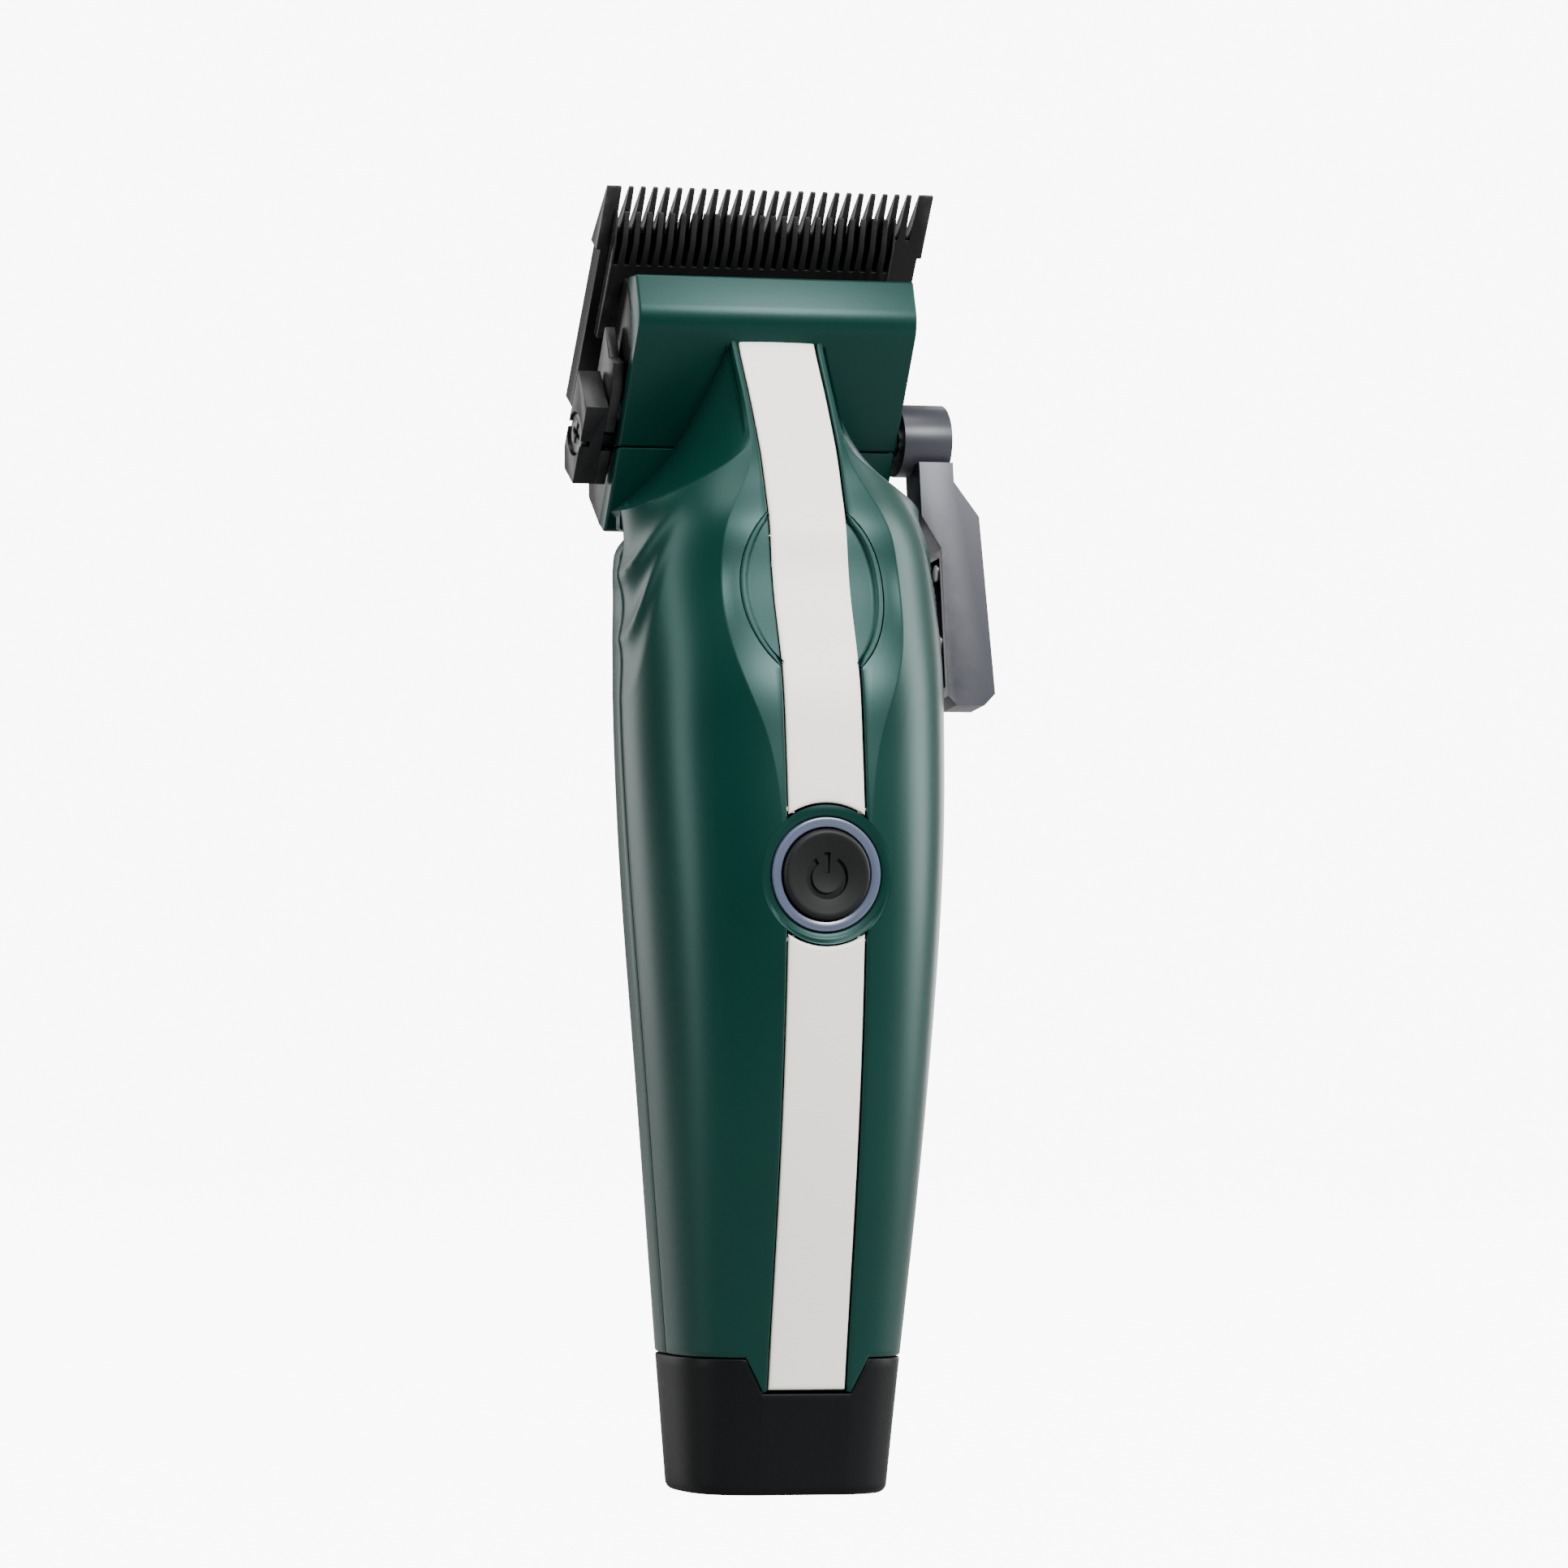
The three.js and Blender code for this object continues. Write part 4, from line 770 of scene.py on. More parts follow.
def end_cap(sizes, colours):
    angles = barrel_angles(30)
    rings = {}

    def spot(index, z, inset):
        key = (round(z, 4), inset)
        if key not in rings:
            rings[key] = cap_ring(z, inset, angles)
        return rings[key][index][:2]

    marks = [point[2] for point in cap_ring(CAP_TOP, 0, angles)]
    tops = [CAP_TOP if mark == BEHIND else notch_z(mark, 0) for mark in marks]
    roll = 1.3
    rows = [[(*spot(k, roll, 9), 0) for k in range(len(tops))]]
    for i in range(7):
        turn = math.pi / 2 * i / 6
        inset = roll * (1 - math.sin(turn))
        rows.append([(*spot(k, roll, inset), roll * (1 - math.cos(turn))) for k in range(len(tops))])
    for i in range(1, 15):
        levels = [mix(roll, top - 0.2, i / 14) for top in tops]
        rows.append([(*spot(k, z, 0), z) for k, z in enumerate(levels)])
    for inset, drop in [(0.06, 0.06), (0.2, 0.0), (2.2, 0.0)]:
        rows.append([(*spot(k, top - drop, inset), top - drop) for k, top in enumerate(tops)])
    rows.append([(*spot(k, 5, 2.4), 3) for k in range(len(tops))])
    mesh = grid_mesh("end_cap_skin", rows, closed=True, ends=True)
    tidy_normals(mesh)
    piece = new_object("end_cap_skin", mesh, "handle", "black_cap", cap_finish(colours), ("end_cap",))
    socket = middle("charge_socket")
    half = (high("charge_socket").x - low("charge_socket").x) / 2 + 0.3
    deep = (high("charge_socket").y - low("charge_socket").y) / 2 + 0.3
    corners = [(-half, -deep), (half, -deep), (half, deep), (-half, deep)]
    slot = rounded_outline([(x, socket.y + y, deep * 0.98) for x, y in corners], 12)
    holes = [prism_mesh("socket", slot, -1, 6, along_z)]
    for node in ("charge_contact_left", "charge_contact_right"):
        place = middle(node)
        holes.append(prism_mesh("hole", circle(1.8, place.x, place.y, 32), -1, 6, along_z))
    boolean(piece, joined_meshes("holes", holes))
    shade(piece, 50)


# ------------------------------------------------------------------ inlays and button

def inlay(name, node, bottom, top, sizes, colours):
    """Strip let into the shell, following its front."""
    columns = [-1, -0.992, -0.965] + [mix(-0.9, 0.9, i / 10) for i in range(11)] + [0.965, 0.992, 1]
    drops = {0: 0.34, 1: 0.12, 2: 0.02}
    rows = []
    count = 120
    levels = [0, 0.0012, 0.004, *[mix(0.01, 0.99, i / count) for i in range(count + 1)], 0.996, 0.9988, 1]
    for r, level in enumerate(levels):
        end = min(r, len(levels) - 1 - r)
        row = []
        for c, share in enumerate(columns):
            edge = min(c, len(columns) - 1 - c)
            x = STRIPE_HALF * share
            z = mix(bottom(x), top(x), level)
            drop = max(drops.get(edge, 0), drops.get(end, 0)) * sizes.inlay_edge / (0.15 * MM)
            row.append((x, front_at(z) + 0.03 + 0.1 * share * share + drop, z))
        rows.append(row)
    mesh = grid_mesh(name, rows)
    piece = new_object(name, mesh, "handle", "cream_inlay", inlay_finish(colours), (node,))
    thicken(piece, 0.95)
    apply_modifiers(piece)
    shade(piece, 70)


def inlays(sizes, colours):
    reach = DISH_RADIUS + 0.27

    def arc(x):
        return math.sqrt(reach * reach - x * x)

    inlay("upper_inlay", "upper_stripe", lambda x: BUTTON_Z + arc(x), lambda x: STRIPE_TOP, sizes, colours)
    inlay("lower_inlay", "lower_stripe", lambda x: STRIPE_BOTTOM, lambda x: BUTTON_Z - arc(x), sizes, colours)


def thumb_rest(sizes, colours):
    """Two sunk crescents with a raised rim, either side of the inlay."""
    sink = sizes.thumb_sink / MM
    reach = math.asin(math.sqrt(1 - (CHANNEL_HALF / THUMB_HALF_WIDTH) ** 2)) * 0.995
    profile = [
        (0.0, 1.4), (0.0, 0.3), (0.05, 0.08), (0.18, 0.0), (0.6, 0.02), (0.75, 0.1), (0.95, 0.8), (1.15, 1.0),
    ]
    meshes = []
    for side in (1, -1):
        rows = []
        for i in range(73):
            turn = mix(-reach, reach, i / 72)
            z = THUMB.z + THUMB_HALF_HEIGHT * math.sin(turn)
            outer = THUMB_HALF_WIDTH * math.cos(turn)
            inner = STRIPE_HALF + 0.05
            width = outer - inner
            scale = min(1.0, width / 1.6)
            row = []
            for step in range(9):
                x = mix(inner, outer - 1.15 * scale, step / 8)
                row.append((x, 1.0))
            for reach_in, drop in reversed(profile[:-1]):
                row.append((outer - reach_in * scale, drop))
            line = []
            for x, drop in row:
                depth = drop if drop > 1 else drop * sink
                line.append((side * x, surface_y(x, z) + depth, z))
            rows.append(line if side > 0 else list(reversed(line)))
        meshes.append(grid_mesh("crescent", rows))
    name = "thumb_rest_skin"
    mesh = joined_meshes(name, meshes)
    piece = new_object(name, mesh, "handle", "green_shell", thumb_finish(colours), ("thumb_rest",))
    thicken(piece, 0.8)
    apply_modifiers(piece)
    shade(piece, 60)


def from_button(u, v, distance):
    return (u, distance, BUTTON_Z + v)


def button_surround(colours):
    """Sunk green collar round the lit ring, its outer edge following the shell."""
    floor = front_at(BUTTON_Z) + 0.6
    turns = [2 * math.pi * i / 144 for i in range(145)]
    rows = []
    for inset, share in [(0.0, 0.0), (0.06, 0.03), (0.2, 0.14), (0.42, 0.62), (0.6, 0.9), (0.8, 1.0)]:
        row = []
        r = DISH_RADIUS - 0.02 - inset
        for t in turns:
            x, z = r * math.cos(t), BUTTON_Z + r * math.sin(t)
            row.append((x, mix(surface_y(x, z) + 0.02, floor, share), z))
        rows.append(row)
    for gap, drop in [(0.35, 0.04), (0.2, 0.12), (0.12, 0.35), (0.12, 3)]:
        r = RING_RADIUS + gap
        rows.append([(r * math.cos(t), floor + drop, BUTTON_Z + r * math.sin(t)) for t in turns])
    mesh = grid_mesh("button_surround", rows)
    tidy_normals(mesh, 0.001 * MM)
    piece = new_object("button_surround", mesh, "handle", "green_shell", shell_finish(colours))
    shade(piece, 60)


def light_ring(colours):
    front, back = low("light_ring").y, high("light_ring").y
    inner = BUTTON_RADIUS + 0.22
    outer = RING_RADIUS
    profile = [(outer, back), (outer, front + 0.25), (outer - 0.08, front + 0.08), (outer - 0.28, front),
               (inner + 0.3, front + 0.12), (inner + 0.08, front + 0.2), (inner, front + 0.4), (inner, back),
               (outer, back)]
    name = "light_ring_fine"
    mesh = lathe_mesh(name, profile, 128, from_button)
    piece = new_object(name, mesh, "handle", "light_guide", ring_finish(colours), ("light_ring",))
    shade(piece, 40)


def power_button(sizes, colours):
    """Dished button with a sunk on-off mark."""
    front = low("power_button").y
    back = front + 2.4
    edge = BUTTON_RADIUS
    dish = sizes.button_dish / MM
    brim, face = edge - 0.95, front + 0.06
    profile = [(0, back), (edge, back), (edge, front + 0.55), (edge - 0.08, front + 0.25),
               (edge - 0.3, front + 0.05), (edge - 0.6, front), (brim, face)]
    for i in range(1, 9):
        share = i / 8
        profile.append((brim * (1 - share), face + dish * math.sin(math.pi / 2 * share) ** 1.2))
    name = "power_button_fine"
    mesh = lathe_mesh(name, profile, 128, from_button)
    piece = new_object(name, mesh, "button", "black_button", button_finish(colours), ("power_button",))
    mark = []
    centre = -0.35
    bar_half = 0.42
    opening = math.radians(32)
    for radius, way in ((2.95, 1), (2.05, -1)):
        turns = [math.pi / 2 + opening + (2 * math.pi - 2 * opening) * i / 40 for i in range(41)]
        for t in turns[::way]:
            mark.append((radius * math.cos(t), BUTTON_Z + centre + radius * math.sin(t)))
    depth = face + dish + 0.25
    arc = prism_mesh("arc", mark, front - 1, depth, along_y)
    low_end, high_end = BUTTON_Z + centre + 0.5, BUTTON_Z + centre + 3.3
    corners = [(-bar_half, low_end), (bar_half, low_end), (bar_half, high_end), (-bar_half, high_end)]
    bar = prism_mesh("bar", corners, front - 1, depth, along_y)
    boolean(piece, joined_meshes("mark", [arc, bar]))
    shade(piece, 35)


# ------------------------------------------------------------------ head, blades and lever

SEAM_GAP = 0.16


def head_profile():
    """Outline of the head's cover in (depth, height up the blade, rounding)."""
    front = -HEAD_DEPTH
    corners = [
        (front, -12.0, 1.0), (front + 1.5, 20.2, 5.0), (front + 6.4, 24.3, 0.4), (-8.0, 22.6, 0.3),
        (-8.0, 21.8, 0.0), (front + 6, 19.2, 0.0), (front + 3, 14.8, 0.0), (front + 3, -12.0, 0.0),
    ]
    return rounded_outline(corners, 10)


def head_slab(name, node, lowest, highest, colours):
    """The part of the head's cover between two heights, either of which can be left open."""
    mesh = prism_mesh(name, head_profile(), -HEAD_HALF, HEAD_HALF, head_point)
    work = bmesh.new()
    work.from_mesh(mesh)
    for height, side in ((lowest, -1), (highest, 1)):
        if height is None:
            continue
        everything = work.verts[:] + work.edges[:] + work.faces[:]
        cut = bmesh.ops.bisect_plane(work, geom=everything, plane_co=(0, 0, height * MM),
                                     plane_no=(0, 0, side), clear_outer=True)
        rim = [e for e in cut["geom_cut"] if isinstance(e, bmesh.types.BMEdge)]
        bmesh.ops.holes_fill(work, edges=rim)
    bmesh.ops.recalc_face_normals(work, faces=work.faces)
    work.to_mesh(mesh)
    work.free()
    piece = new_object(name, mesh, "handle", "green_shell", shell_finish(colours), (node,))
    round_edges(piece, 0.35, 3, 50)
    apply_modifiers(piece)
    shade(piece, 40)


def head_shells(sizes, colours):
    head_slab("head_cover_fine", "head_cover", SEAM_Z + SEAM_GAP / 2, None, colours)
    head_slab("head_base_fine", "head_base", None, SEAM_Z - SEAM_GAP / 2, colours)
    refined_piece("blade_chassis", "handle", "black_anodised", cast_finish(colours), 0.3)


def blades(sizes, colours):
    refined_piece("fixed_blade", "blade", "black_blade", blade_finish(colours), 0.07)
    refined_piece("cutter_blade", "cutter", "black_blade", blade_finish(colours), 0.05)
    refined_piece("blade_carrier", "blade", "black_anodised", cast_finish(colours), 0.15)
    refined_piece("cutter_driver", "cutter", "inner_plastic", inner_finish(colours), 0.15)
    refined_piece("tension_spring", "cutter", "bright_steel", steel_finish(colours), 0.1)
    for side in ("left", "right"):
        refined_piece(f"blade_screw_{side}", "blade", "dark_screw", screw_finish(colours), 0.12)


def lever(sizes, colours):
    refined_piece("taper_lever", "lever", "black_anodised", lever_finish(colours), 0.8, 4, 40)
    refined_piece("lever_liner", "lever", "inner_plastic", inner_finish(colours), 0.12)
    for end in ("upper", "lower"):
        refined_piece(f"lever_stud_{end}", "lever", "dark_screw", screw_finish(colours), 0.15)
    refined_piece("lever_axle", "lever", "bright_steel", steel_finish(colours), 0.12)


def pivot(sizes, colours):
    refined_piece("guide_block", "handle", "black_anodised", cast_finish(colours), 0.25)
    refined_piece("pivot_block", "handle", "black_anodised", cast_finish(colours), 0.35)
    refined_piece("pivot_screw", "handle", "dark_screw", screw_finish(colours), 0.12)


def inside(sizes, colours):
    """Finishes of the parts inside the handle."""
    finishes = {
        "inner_plastic": (inner_finish, ("battery_cradle", "motor_mount", "button_switch")),
        "bright_steel": (steel_finish, ("motor_can", "motor_rotor", "charge_socket")),
        "contact_gold": (gold_finish, ("charge_contact_left", "charge_contact_right")),
        "circuit_green": (circuit_finish, ("circuit_board",)),
        "cell_wrap": (wrap_finish, ("battery_cell",)),
        "dark_screw": (screw_finish, tuple(f"shell_screw_{i}" for i in range(1, 5))),
    }
    for slot, (finish, nodes) in finishes.items():
        for node in nodes:
            part = frame["nodes"][node]
            part.data.materials.clear()
            part.data.materials.append(finish(colours))
            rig.slot(part, slot)
            shade(part, 35)


# ------------------------------------------------------------------ finishes

def effect(name, inputs, outputs, build):
    """A shader node group with named inputs and outputs."""
    if name in bpy.data.node_groups:
        return bpy.data.node_groups[name]
    group = bpy.data.node_groups.new(name, "ShaderNodeTree")
    for label, value in inputs.items():
        group.interface.new_socket(label, in_out="INPUT", socket_type="NodeSocketFloat").default_value = value
    for label in outputs:
        group.interface.new_socket(label, in_out="OUTPUT", socket_type="NodeSocketFloat")
    build(group.nodes, group.links, group.nodes.new("NodeGroupInput"), group.nodes.new("NodeGroupOutput"))
    return group


def add_math(nodes, links, operation, *values):
    """Math node whose inputs are numbers or the outputs of other nodes."""
    node = nodes.new("ShaderNodeMath")
    node.operation = operation
    for i, value in enumerate(values):
        if isinstance(value, (int, float)):
            node.inputs[i].default_value = value
        else:
            links.new(value, node.inputs[i])
    return node.outputs[0]


def grain_effect():
    def build(nodes, links, start, end):
        place = nodes.new("ShaderNodeTexCoord")
        fine = nodes.new("ShaderNodeTexNoise")
        fine.inputs["Detail"].default_value = 3
        links.new(place.outputs["Object"], fine.inputs["Vector"])
        links.new(start.outputs["Scale"], fine.inputs["Scale"])
        links.new(fine.outputs["Fac"], end.inputs["Height"])
        broad = nodes.new("ShaderNodeTexNoise")
        broad.inputs["Scale"].default_value = 38
        broad.inputs["Detail"].default_value = 4
        links.new(place.outputs["Object"], broad.inputs["Vector"])
        links.new(broad.outputs["Fac"], end.inputs["Broad"])

    return effect("fine grain", {"Scale": 4200.0}, ("Height", "Broad"), build)


# Patchy mask of sharp, pointy edges, which the finishes lighten. On the blades this is a painted highlight along the
# teeth's tips and edges; elsewhere it lightens the sharp edges.
def wear_and_highlight_effect():
    def build(nodes, links, start, end):
        shape = nodes.new("ShaderNodeNewGeometry")
        ramp = nodes.new("ShaderNodeMapRange")
        links.new(shape.outputs["Pointiness"], ramp.inputs["Value"])
        links.new(start.outputs["From"], ramp.inputs["From Min"])
        links.new(start.outputs["To"], ramp.inputs["From Max"])
        place = nodes.new("ShaderNodeTexCoord")
        patch = nodes.new("ShaderNodeTexNoise")
        patch.inputs["Scale"].default_value = 420
        patch.inputs["Detail"].default_value = 3
        links.new(place.outputs["Object"], patch.inputs["Vector"])
        spread = add_math(nodes, links, "MULTIPLY_ADD", patch.outputs["Fac"], 1.6, -0.3)
        mask = add_math(nodes, links, "MULTIPLY", ramp.outputs["Result"], spread)
        out = nodes.new("ShaderNodeClamp")
        links.new(add_math(nodes, links, "MULTIPLY", mask, start.outputs["Amount"]), out.inputs["Value"])
        links.new(out.outputs["Result"], end.inputs["Mask"])

    return effect("edge wear", {"From": 0.55, "To": 0.68, "Amount": 1.0}, ("Mask",), build)


def brushing_effect():
    def build(nodes, links, start, end):
        place = nodes.new("ShaderNodeTexCoord")
        stretch = nodes.new("ShaderNodeMapping")
        stretch.inputs["Scale"].default_value = (0.03, 1.0, 1.0)
        links.new(place.outputs["Object"], stretch.inputs["Vector"])
        lines = nodes.new("ShaderNodeTexNoise")
        lines.inputs["Detail"].default_value = 2
        links.new(stretch.outputs["Vector"], lines.inputs["Vector"])
        links.new(start.outputs["Scale"], lines.inputs["Scale"])
        links.new(lines.outputs["Fac"], end.inputs["Height"])

    return effect("ground lines", {"Scale": 6000.0}, ("Height",), build)


def material(name, base, second, rough, rough_spread, metal=0.0, coat=0.0, grain=4200.0, bump=0.15,
             bump_depth=0.02, wear=None, wear_and_highlight_amount=1.0, brushed=False, specular=0.5, tint=(1, 1, 1),
             ranges=(0.35, 0.7)):
    """Procedural finish: two colours mixed by broad grain, uneven roughness, fine bump, and sharp edges lightened by a
    patchy mask, which on the blades is a painted highlight.
    """
    if name in bpy.data.materials:
        return bpy.data.materials[name]
    out = bpy.data.materials.new(name)
    out.use_nodes = True
    nodes, links = out.node_tree.nodes, out.node_tree.links
    shader = nodes["Principled BSDF"]
    shader.inputs["Metallic"].default_value = metal
    shader.inputs["Coat Weight"].default_value = coat
    shader.inputs["Coat Roughness"].default_value = 0.2
    shader.inputs["Specular IOR Level"].default_value = specular
    shader.inputs["Specular Tint"].default_value = (*tint, 1)
    grained = nodes.new("ShaderNodeGroup")
    grained.node_tree = grain_effect()
    grained.inputs["Scale"].default_value = grain
    tone = nodes.new("ShaderNodeValToRGB")
    tone.color_ramp.elements[0].position = ranges[0]
    tone.color_ramp.elements[1].position = ranges[1]
    tone.color_ramp.elements[0].color = (*base, 1)
    tone.color_ramp.elements[1].color = (*second, 1)
    links.new(grained.outputs["Broad"], tone.inputs["Fac"])
    colour = tone.outputs["Color"]
    rough_map = nodes.new("ShaderNodeMapRange")
    rough_map.inputs["To Min"].default_value = rough - rough_spread
    rough_map.inputs["To Max"].default_value = rough + rough_spread
    links.new(grained.outputs["Broad"], rough_map.inputs["Value"])
    roughness = rough_map.outputs["Result"]
    # Lightens pointy edges: on the blades a painted highlight, on other finishes lighter sharp edges.
    if wear:
        wear_and_highlight_node = nodes.new("ShaderNodeGroup")
        wear_and_highlight_node.node_tree = wear_and_highlight_effect()
        wear_and_highlight_node.inputs["Amount"].default_value = wear_and_highlight_amount
        blend = nodes.new("ShaderNodeMix")
        blend.data_type = "RGBA"
        links.new(wear_and_highlight_node.outputs["Mask"], blend.inputs["Factor"])
        links.new(colour, blend.inputs["A"])
        blend.inputs["B"].default_value = (*wear, 1)
        colour = blend.outputs["Result"]
    links.new(colour, shader.inputs["Base Color"])
    links.new(roughness, shader.inputs["Roughness"])
    bumped = nodes.new("ShaderNodeBump")
    bumped.inputs["Strength"].default_value = bump
    bumped.inputs["Distance"].default_value = bump_depth * MM
    if brushed:
        lines = nodes.new("ShaderNodeGroup")
        lines.node_tree = brushing_effect()
        links.new(lines.outputs["Height"], bumped.inputs["Height"])
    else:
        links.new(grained.outputs["Height"], bumped.inputs["Height"])
    links.new(bumped.outputs["Normal"], shader.inputs["Normal"])
    return out


SHEEN = (0.62, 1.0, 0.97)


def shade_of(colour, factor):
    return tuple(min(channel * factor, 1.0) for channel in colour)


def shell_finish(colours):
    green = colours.shell
    return material("satin green", green, shade_of(green, 1.12), 0.34, 0.04, bump=0.22, bump_depth=0.02,
                    wear=shade_of(green, 2.2), wear_and_highlight_amount=0.35, specular=0.24, tint=SHEEN)


def thumb_finish(colours):
    green = colours.shell
    return material("matt green", shade_of(green, 1.15), shade_of(green, 1.3), 0.48, 0.05, bump=0.5,
                    bump_depth=0.03, grain=2600.0, wear=shade_of(green, 2.2), wear_and_highlight_amount=0.3,
                    specular=0.33, tint=SHEEN)


def inlay_finish(colours):
    cream = colours.inlay
    return material("cream inlay", shade_of(cream, 0.96), cream, 0.42, 0.06, bump=0.2, bump_depth=0.02)


def cap_finish(colours):
    black = colours.cap
    return material("matt black cap", black, shade_of(black, 1.3), 0.45, 0.05, bump=0.4, bump_depth=0.03,
                    grain=3000.0, wear=shade_of(black, 4), wear_and_highlight_amount=0.3, specular=0.09)


def button_finish(colours):
    black = colours.cap
    return material("black rubber button", shade_of(black, 0.9), shade_of(black, 1.3), 0.5, 0.06, bump=0.4,
                    bump_depth=0.02, wear=shade_of(black, 4), wear_and_highlight_amount=0.4, specular=0.2)


def ring_finish(colours):
    ring = colours.ring
    return material("frosted light guide", ring, shade_of(ring, 1.2), 0.3, 0.05, coat=0.4, bump=0.1,
                    bump_depth=0.01)


def cast_finish(colours):
    black = colours.metal
    return material("black coated casting", black, shade_of(black, 1.4), 0.36, 0.06, metal=0.0, bump=0.45,
                    bump_depth=0.03, grain=2400.0, wear=(0.12, 0.12, 0.125), wear_and_highlight_amount=0.6, specular=0.2)


def lever_finish(colours):
    black = colours.lever
    return material("black satin lever", black, shade_of(black, 1.05), 0.36, 0.01, metal=0.1, bump=0.12,
                    bump_depth=0.01, wear=(0.2, 0.2, 0.22), wear_and_highlight_amount=0.3, specular=0.3)


def blade_finish(colours):
    black = colours.blade
    # The pale edge colour here is a painted highlight on the teeth's tips and edges.
    return material("black ground blade", black, shade_of(black, 1.6), 0.3, 0.08, metal=0.0, bump=0.35,
                    bump_depth=0.04, wear=(0.35, 0.35, 0.36), wear_and_highlight_amount=0.7, brushed=True, specular=0.16)


def screw_finish(colours):
    return material("dark screw", (0.02, 0.02, 0.022), (0.045, 0.045, 0.05), 0.3, 0.06, metal=0.9,
                    wear=(0.5, 0.5, 0.52), wear_and_highlight_amount=1.0)


def steel_finish(colours):
    return material("bright steel", (0.5, 0.5, 0.52), (0.62, 0.62, 0.64), 0.26, 0.06, metal=1.0, brushed=True)


def inner_finish(colours):
    return material("inner plastic", (0.012, 0.012, 0.013), (0.025, 0.025, 0.027), 0.55, 0.06, bump=0.4)


def gold_finish(colours):
    return material("plated contact", (0.7, 0.45, 0.15), (0.8, 0.55, 0.2), 0.25, 0.05, metal=1.0)


def circuit_finish(colours):
    return material("circuit board", (0.01, 0.12, 0.04), (0.02, 0.18, 0.06), 0.4, 0.08, ranges=(0.48, 0.52))


def wrap_finish(colours):
    return material("cell wrap", (0.02, 0.09, 0.3), (0.03, 0.12, 0.36), 0.3, 0.05, coat=0.3)


def paper_finish():
    if "pale sweep" in bpy.data.materials:
        return bpy.data.materials["pale sweep"]
    out = material("pale sweep", (0.3, 0.3, 0.3), (0.33, 0.33, 0.33), 0.8, 0.05, bump=0.05, specular=0.1)
    nodes, links = out.node_tree.nodes, out.node_tree.links
    shader = nodes["Principled BSDF"]
    shader.inputs["Emission Color"].default_value = (1, 1, 1, 1)
    sight = nodes.new("ShaderNodeLightPath")
    glow = nodes.new("ShaderNodeMapRange")
    glow.inputs["To Min"].default_value = 0.15
    glow.inputs["To Max"].default_value = 9.0
    links.new(sight.outputs["Is Camera Ray"], glow.inputs["Value"])
    links.new(glow.outputs["Result"], shader.inputs["Emission Strength"])
    return out


# ------------------------------------------------------------------ stage

VIEW_TURN = 19.0
VIEW_DISTANCE = 1.4
VIEW_HEIGHT = 0.0946
VIEW_ROLL = 0.7
VIEW_LENS = 240
FLOOR_START = -0.4
FLOOR_END = 1.2
SWEEP_RADIUS = 0.9
SWEEP_TOP = 3.5
SWEEP_HALF = 4
LIGHT_AIM = (0, 0, 0.09)


def sweep():
    """Floor that curves up into a backdrop, turned to face the camera; lengths here are in metres."""
    profile = [(FLOOR_START, 0.0), (FLOOR_END, 0.0)]
    for i in range(1, 17):
        t = math.pi / 2 * i / 16
        profile.append((FLOOR_END + SWEEP_RADIUS * math.sin(t), SWEEP_RADIUS * (1 - math.cos(t))))
    profile.append((FLOOR_END + SWEEP_RADIUS, SWEEP_TOP))
    turn = Matrix.Rotation(math.radians(-VIEW_TURN), 4, "Z")
    points, faces = [], []
    for depth, height in profile:
        for x in (-SWEEP_HALF, SWEEP_HALF):
            points.append(turn @ Vector((x, depth, height)) / MM)
    for i in range(len(profile) - 1):
        faces.append((2 * i, 2 * i + 1, 2 * i + 3, 2 * i + 2))
    mesh = mesh_from("sweep", points, faces)
    piece = bpy.data.objects.new("sweep", mesh)
    bpy.context.scene.collection.objects.link(piece)
    mesh.materials.append(paper_finish())
    shade(piece, 60)
    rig.stage(piece)


def softbox(name, turn, lift, distance, width, height, power):
    """Area light aimed at the clipper; turn runs from the front to the right, lift from the horizon up."""
    light = bpy.data.lights.new(name, "AREA")
    light.shape = "RECTANGLE"
    light.size, light.size_y = width, height
    light.energy = power
    lamp = bpy.data.objects.new(name, light)
    bpy.context.scene.collection.objects.link(lamp)
    a, e = math.radians(turn), math.radians(lift)
    way = Vector((math.sin(a) * math.cos(e), -math.cos(a) * math.cos(e), math.sin(e)))
    lamp.location = Vector(LIGHT_AIM) + way * distance
    lamp.rotation_euler = way.to_track_quat("Z", "Y").to_euler()


def stage(sizes, colours):
    sweep()
    world = bpy.data.worlds.new("studio")
    world.use_nodes = True
    world.node_tree.nodes["Background"].inputs["Color"].default_value = (1, 1, 1, 1)
    world.node_tree.nodes["Background"].inputs["Strength"].default_value = 0.06
    bpy.context.scene.world = world
    softbox("left softbox", -84, 10, 0.9, 0.25, 1.2, 10)
    softbox("right softbox", 84, 16, 1.3, 0.5, 1.0, 26)
    softbox("front softbox", 21, 33, 1.2, 0.45, 0.3, 24)
    softbox("top softbox", -19, 72, 0.9, 0.7, 0.4, 10)
    softbox("right edge softbox", 140, 8, 0.9, 0.35, 1.2, 6)
    softbox("left edge softbox", -150, 8, 0.9, 0.3, 1.2, 5)
    camera = bpy.data.cameras.new("camera")
    camera.lens = VIEW_LENS
    eye = bpy.data.objects.new("camera", camera)
    bpy.context.scene.collection.objects.link(eye)
    a = math.radians(-VIEW_TURN)
    way = Vector((math.sin(a), -math.cos(a), 0))
    eye.location = Vector((0, 0, VIEW_HEIGHT)) + way * VIEW_DISTANCE
    roll = Matrix.Rotation(math.radians(VIEW_ROLL), 3, "Z")
    eye.rotation_euler = (way.to_track_quat("Z", "Y").to_matrix() @ roll).to_euler()
    bpy.context.scene.camera = eye


# ------------------------------------------------------------------ add-on

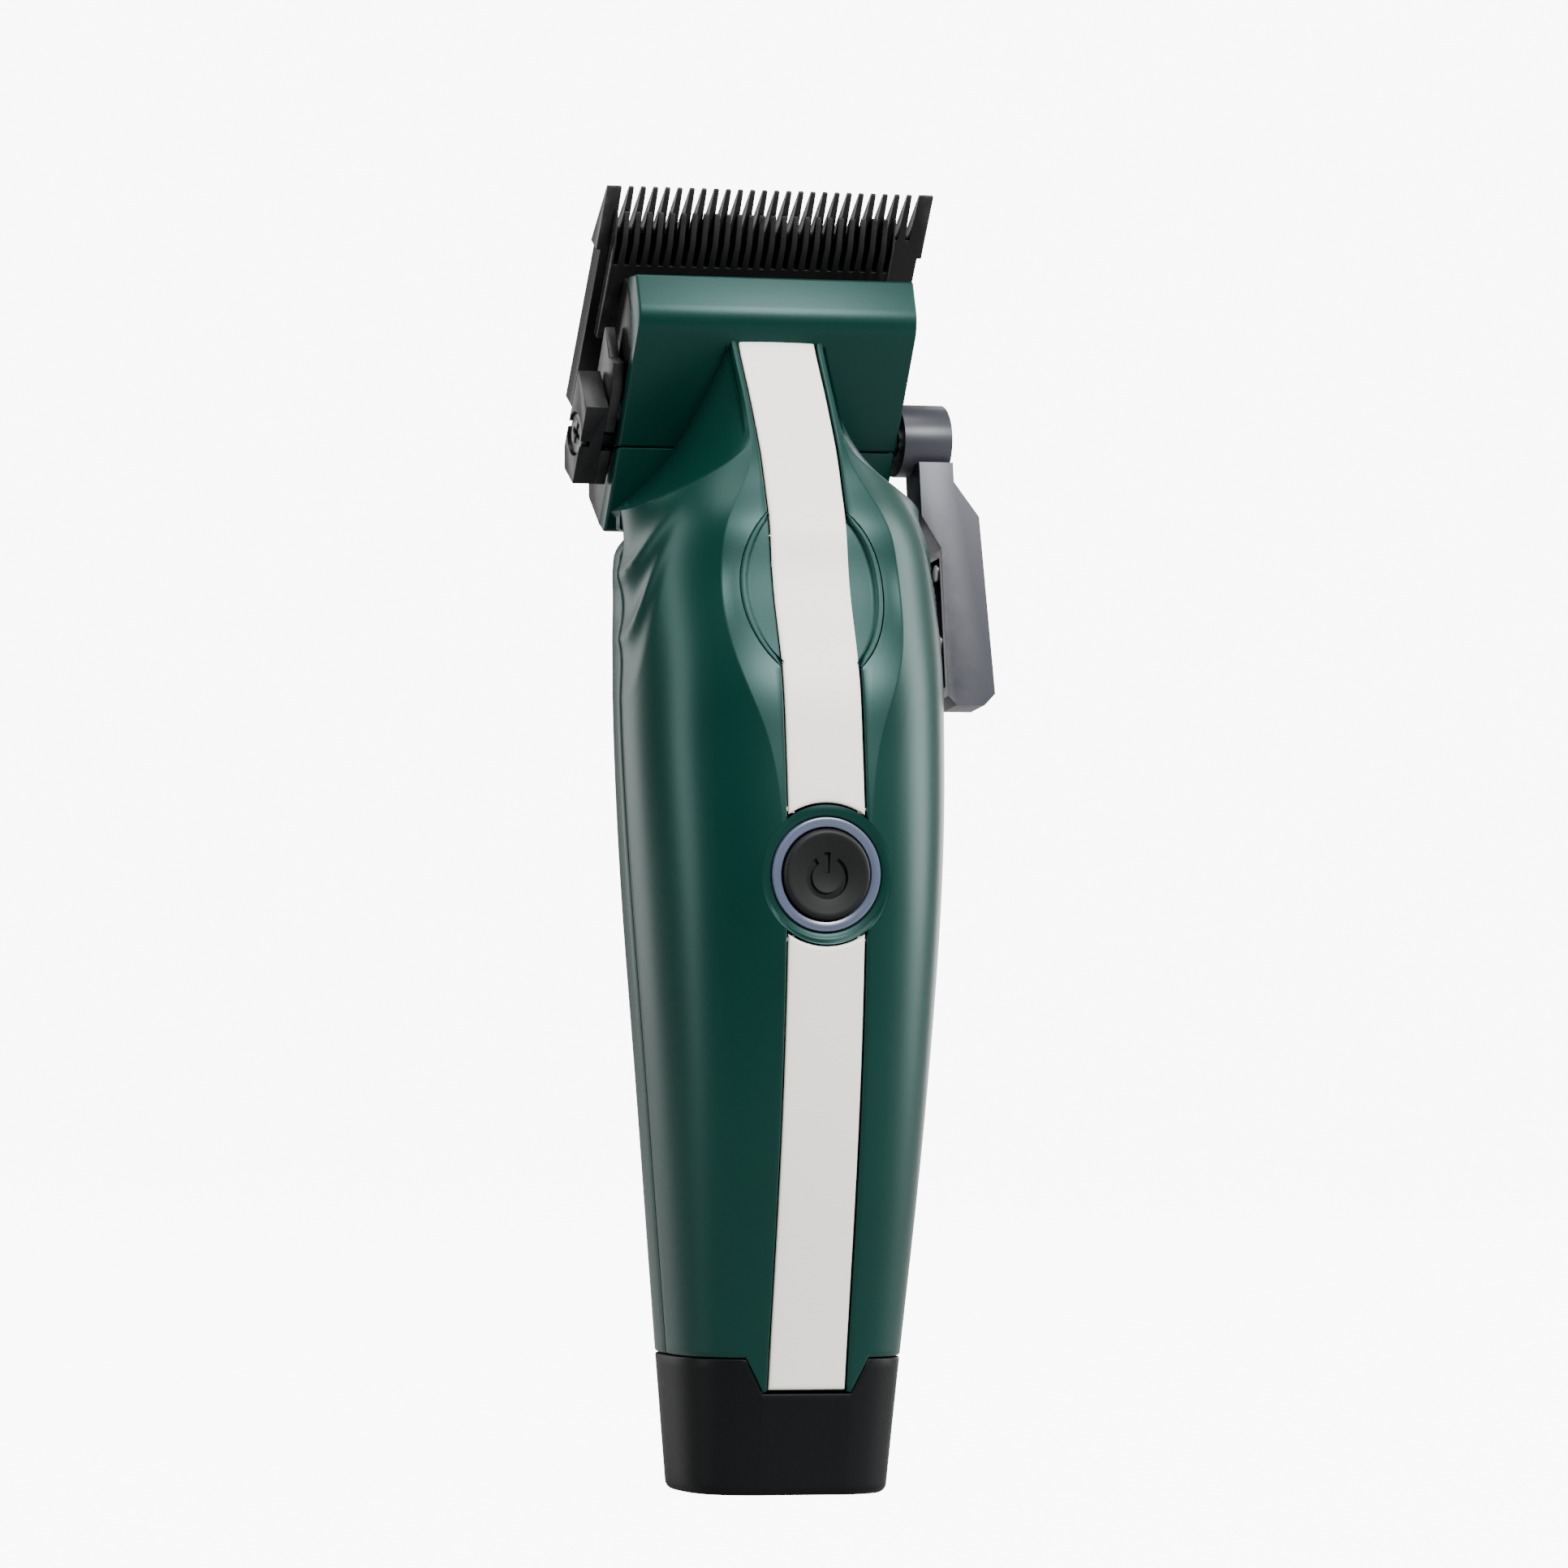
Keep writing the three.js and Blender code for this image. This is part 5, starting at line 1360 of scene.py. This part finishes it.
class ClipperSizes(bpy.types.PropertyGroup):
    """Sizes that the looks of the clipper are built from."""

    shell_wall: FloatProperty(name="Shell wall", description="Thickness of the two handle shells",
                              default=0.0014, min=0.0005, unit="LENGTH")
    inlay_edge: FloatProperty(name="Inlay edge", description="Rounding along the inlay's edges",
                              default=0.00015, min=0.0, unit="LENGTH")
    thumb_sink: FloatProperty(name="Thumb rest depth", description="Depth of the thumb rest below the shell",
                              default=0.0008, min=0.0, unit="LENGTH")
    button_dish: FloatProperty(name="Button dish", description="Depth of the button's hollow face",
                               default=0.0006, min=0.0, unit="LENGTH")


def colour_property(name, description, default):
    return FloatVectorProperty(name=name, description=description, default=default, size=3, min=0, max=1,
                               subtype="COLOR")


class ClipperColours(bpy.types.PropertyGroup):
    """Colours of the clipper's finishes."""

    shell: colour_property("Shell", "Green of the handle and head", (0.0003, 0.018, 0.0135))
    inlay: colour_property("Inlay", "Cream of the two strips", (0.90, 0.86, 0.78))
    cap: colour_property("Cap and button", "Black of the end cap and the button", (0.0028, 0.0032, 0.0035))
    ring: colour_property("Light ring", "Blue grey of the unlit ring", (0.06, 0.075, 0.12))
    metal: colour_property("Castings", "Black of the chassis and blocks", (0.005, 0.005, 0.0055))
    lever: colour_property("Lever", "Black of the taper lever", (0.036, 0.037, 0.046))
    blade: colour_property("Blades", "Black of the two blades", (0.005, 0.005, 0.0053))


def builder(name, label, description, build):
    """Operator class for one piece or group of like pieces."""

    def execute(self, context):
        try:
            build(context.scene.clipper_sizes, context.scene.clipper_colours)
        except (RuntimeError, ValueError, KeyError) as fault:
            self.report({"ERROR"}, f"{label}: {fault}")
            raise
        return {"FINISHED"}

    contents = {"__doc__": description, "bl_idname": f"clipper.{name}", "bl_label": label,
                "bl_options": {"REGISTER", "UNDO"}, "execute": execute}
    return type(f"CLIPPER_OT_{name}", (bpy.types.Operator,), contents)


def button_group(sizes, colours):
    button_surround(colours)
    light_ring(colours)
    power_button(sizes, colours)


OPERATORS = (
    builder("front_shell", "Front shell", "Builds the front half of the handle with its ridge", front_shell),
    builder("rear_shell", "Rear shell", "Builds the back half of the handle", rear_shell),
    builder("end_cap", "End cap", "Builds the black cap at the foot", end_cap),
    builder("inlays", "Inlays", "Builds the two cream strips", inlays),
    builder("thumb_rest", "Thumb rest", "Builds the sunk oval on the front", thumb_rest),
    builder("button", "Button", "Builds the button, its lit ring and collar", button_group),
    builder("head", "Head", "Builds the head's cover, base and chassis", head_shells),
    builder("blades", "Blades", "Builds both blades and what moves them", blades),
    builder("lever", "Taper lever", "Builds the lever with its liner, studs and axle", lever),
    builder("pivot", "Pivot", "Builds the blocks and screw opposite the lever", pivot),
    builder("inside", "Inside", "Gives the parts inside the handle their finishes", inside),
    builder("stage", "Stage", "Adds the sweep, the lights and the camera", stage),
)


class CLIPPER_PT_panel(bpy.types.Panel):
    """Sidebar panel with the clipper's sizes, colours and builders."""

    bl_label = "Clipper"
    bl_space_type = "VIEW_3D"
    bl_region_type = "UI"
    bl_category = "Clipper"

    def draw(self, context):
        layout = self.layout
        for group in (context.scene.clipper_sizes, context.scene.clipper_colours):
            for name in group.__annotations__:
                layout.prop(group, name)
        for operator in OPERATORS:
            layout.operator(operator.bl_idname)


CLASSES = (ClipperSizes, ClipperColours, *OPERATORS, CLIPPER_PT_panel)


def register():
    for cls in CLASSES:
        bpy.utils.register_class(cls)
    bpy.types.Scene.clipper_sizes = PointerProperty(type=ClipperSizes)
    bpy.types.Scene.clipper_colours = PointerProperty(type=ClipperColours)


def unregister():
    del bpy.types.Scene.clipper_colours
    del bpy.types.Scene.clipper_sizes
    for cls in reversed(CLASSES):
        bpy.utils.unregister_class(cls)


def main():
    register()
    for operator in OPERATORS:
        getattr(bpy.ops.clipper, operator.bl_idname.split(".")[1])()
    sizes = {"frame": plain(CAD_BOX), "looks": plain(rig.bounds())}
    with open("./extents.json", "w") as out:
        json.dump(sizes, out)


def plain(box):
    return [[float(value) for value in corner] for corner in box]


if __name__ == "__main__":
    main()
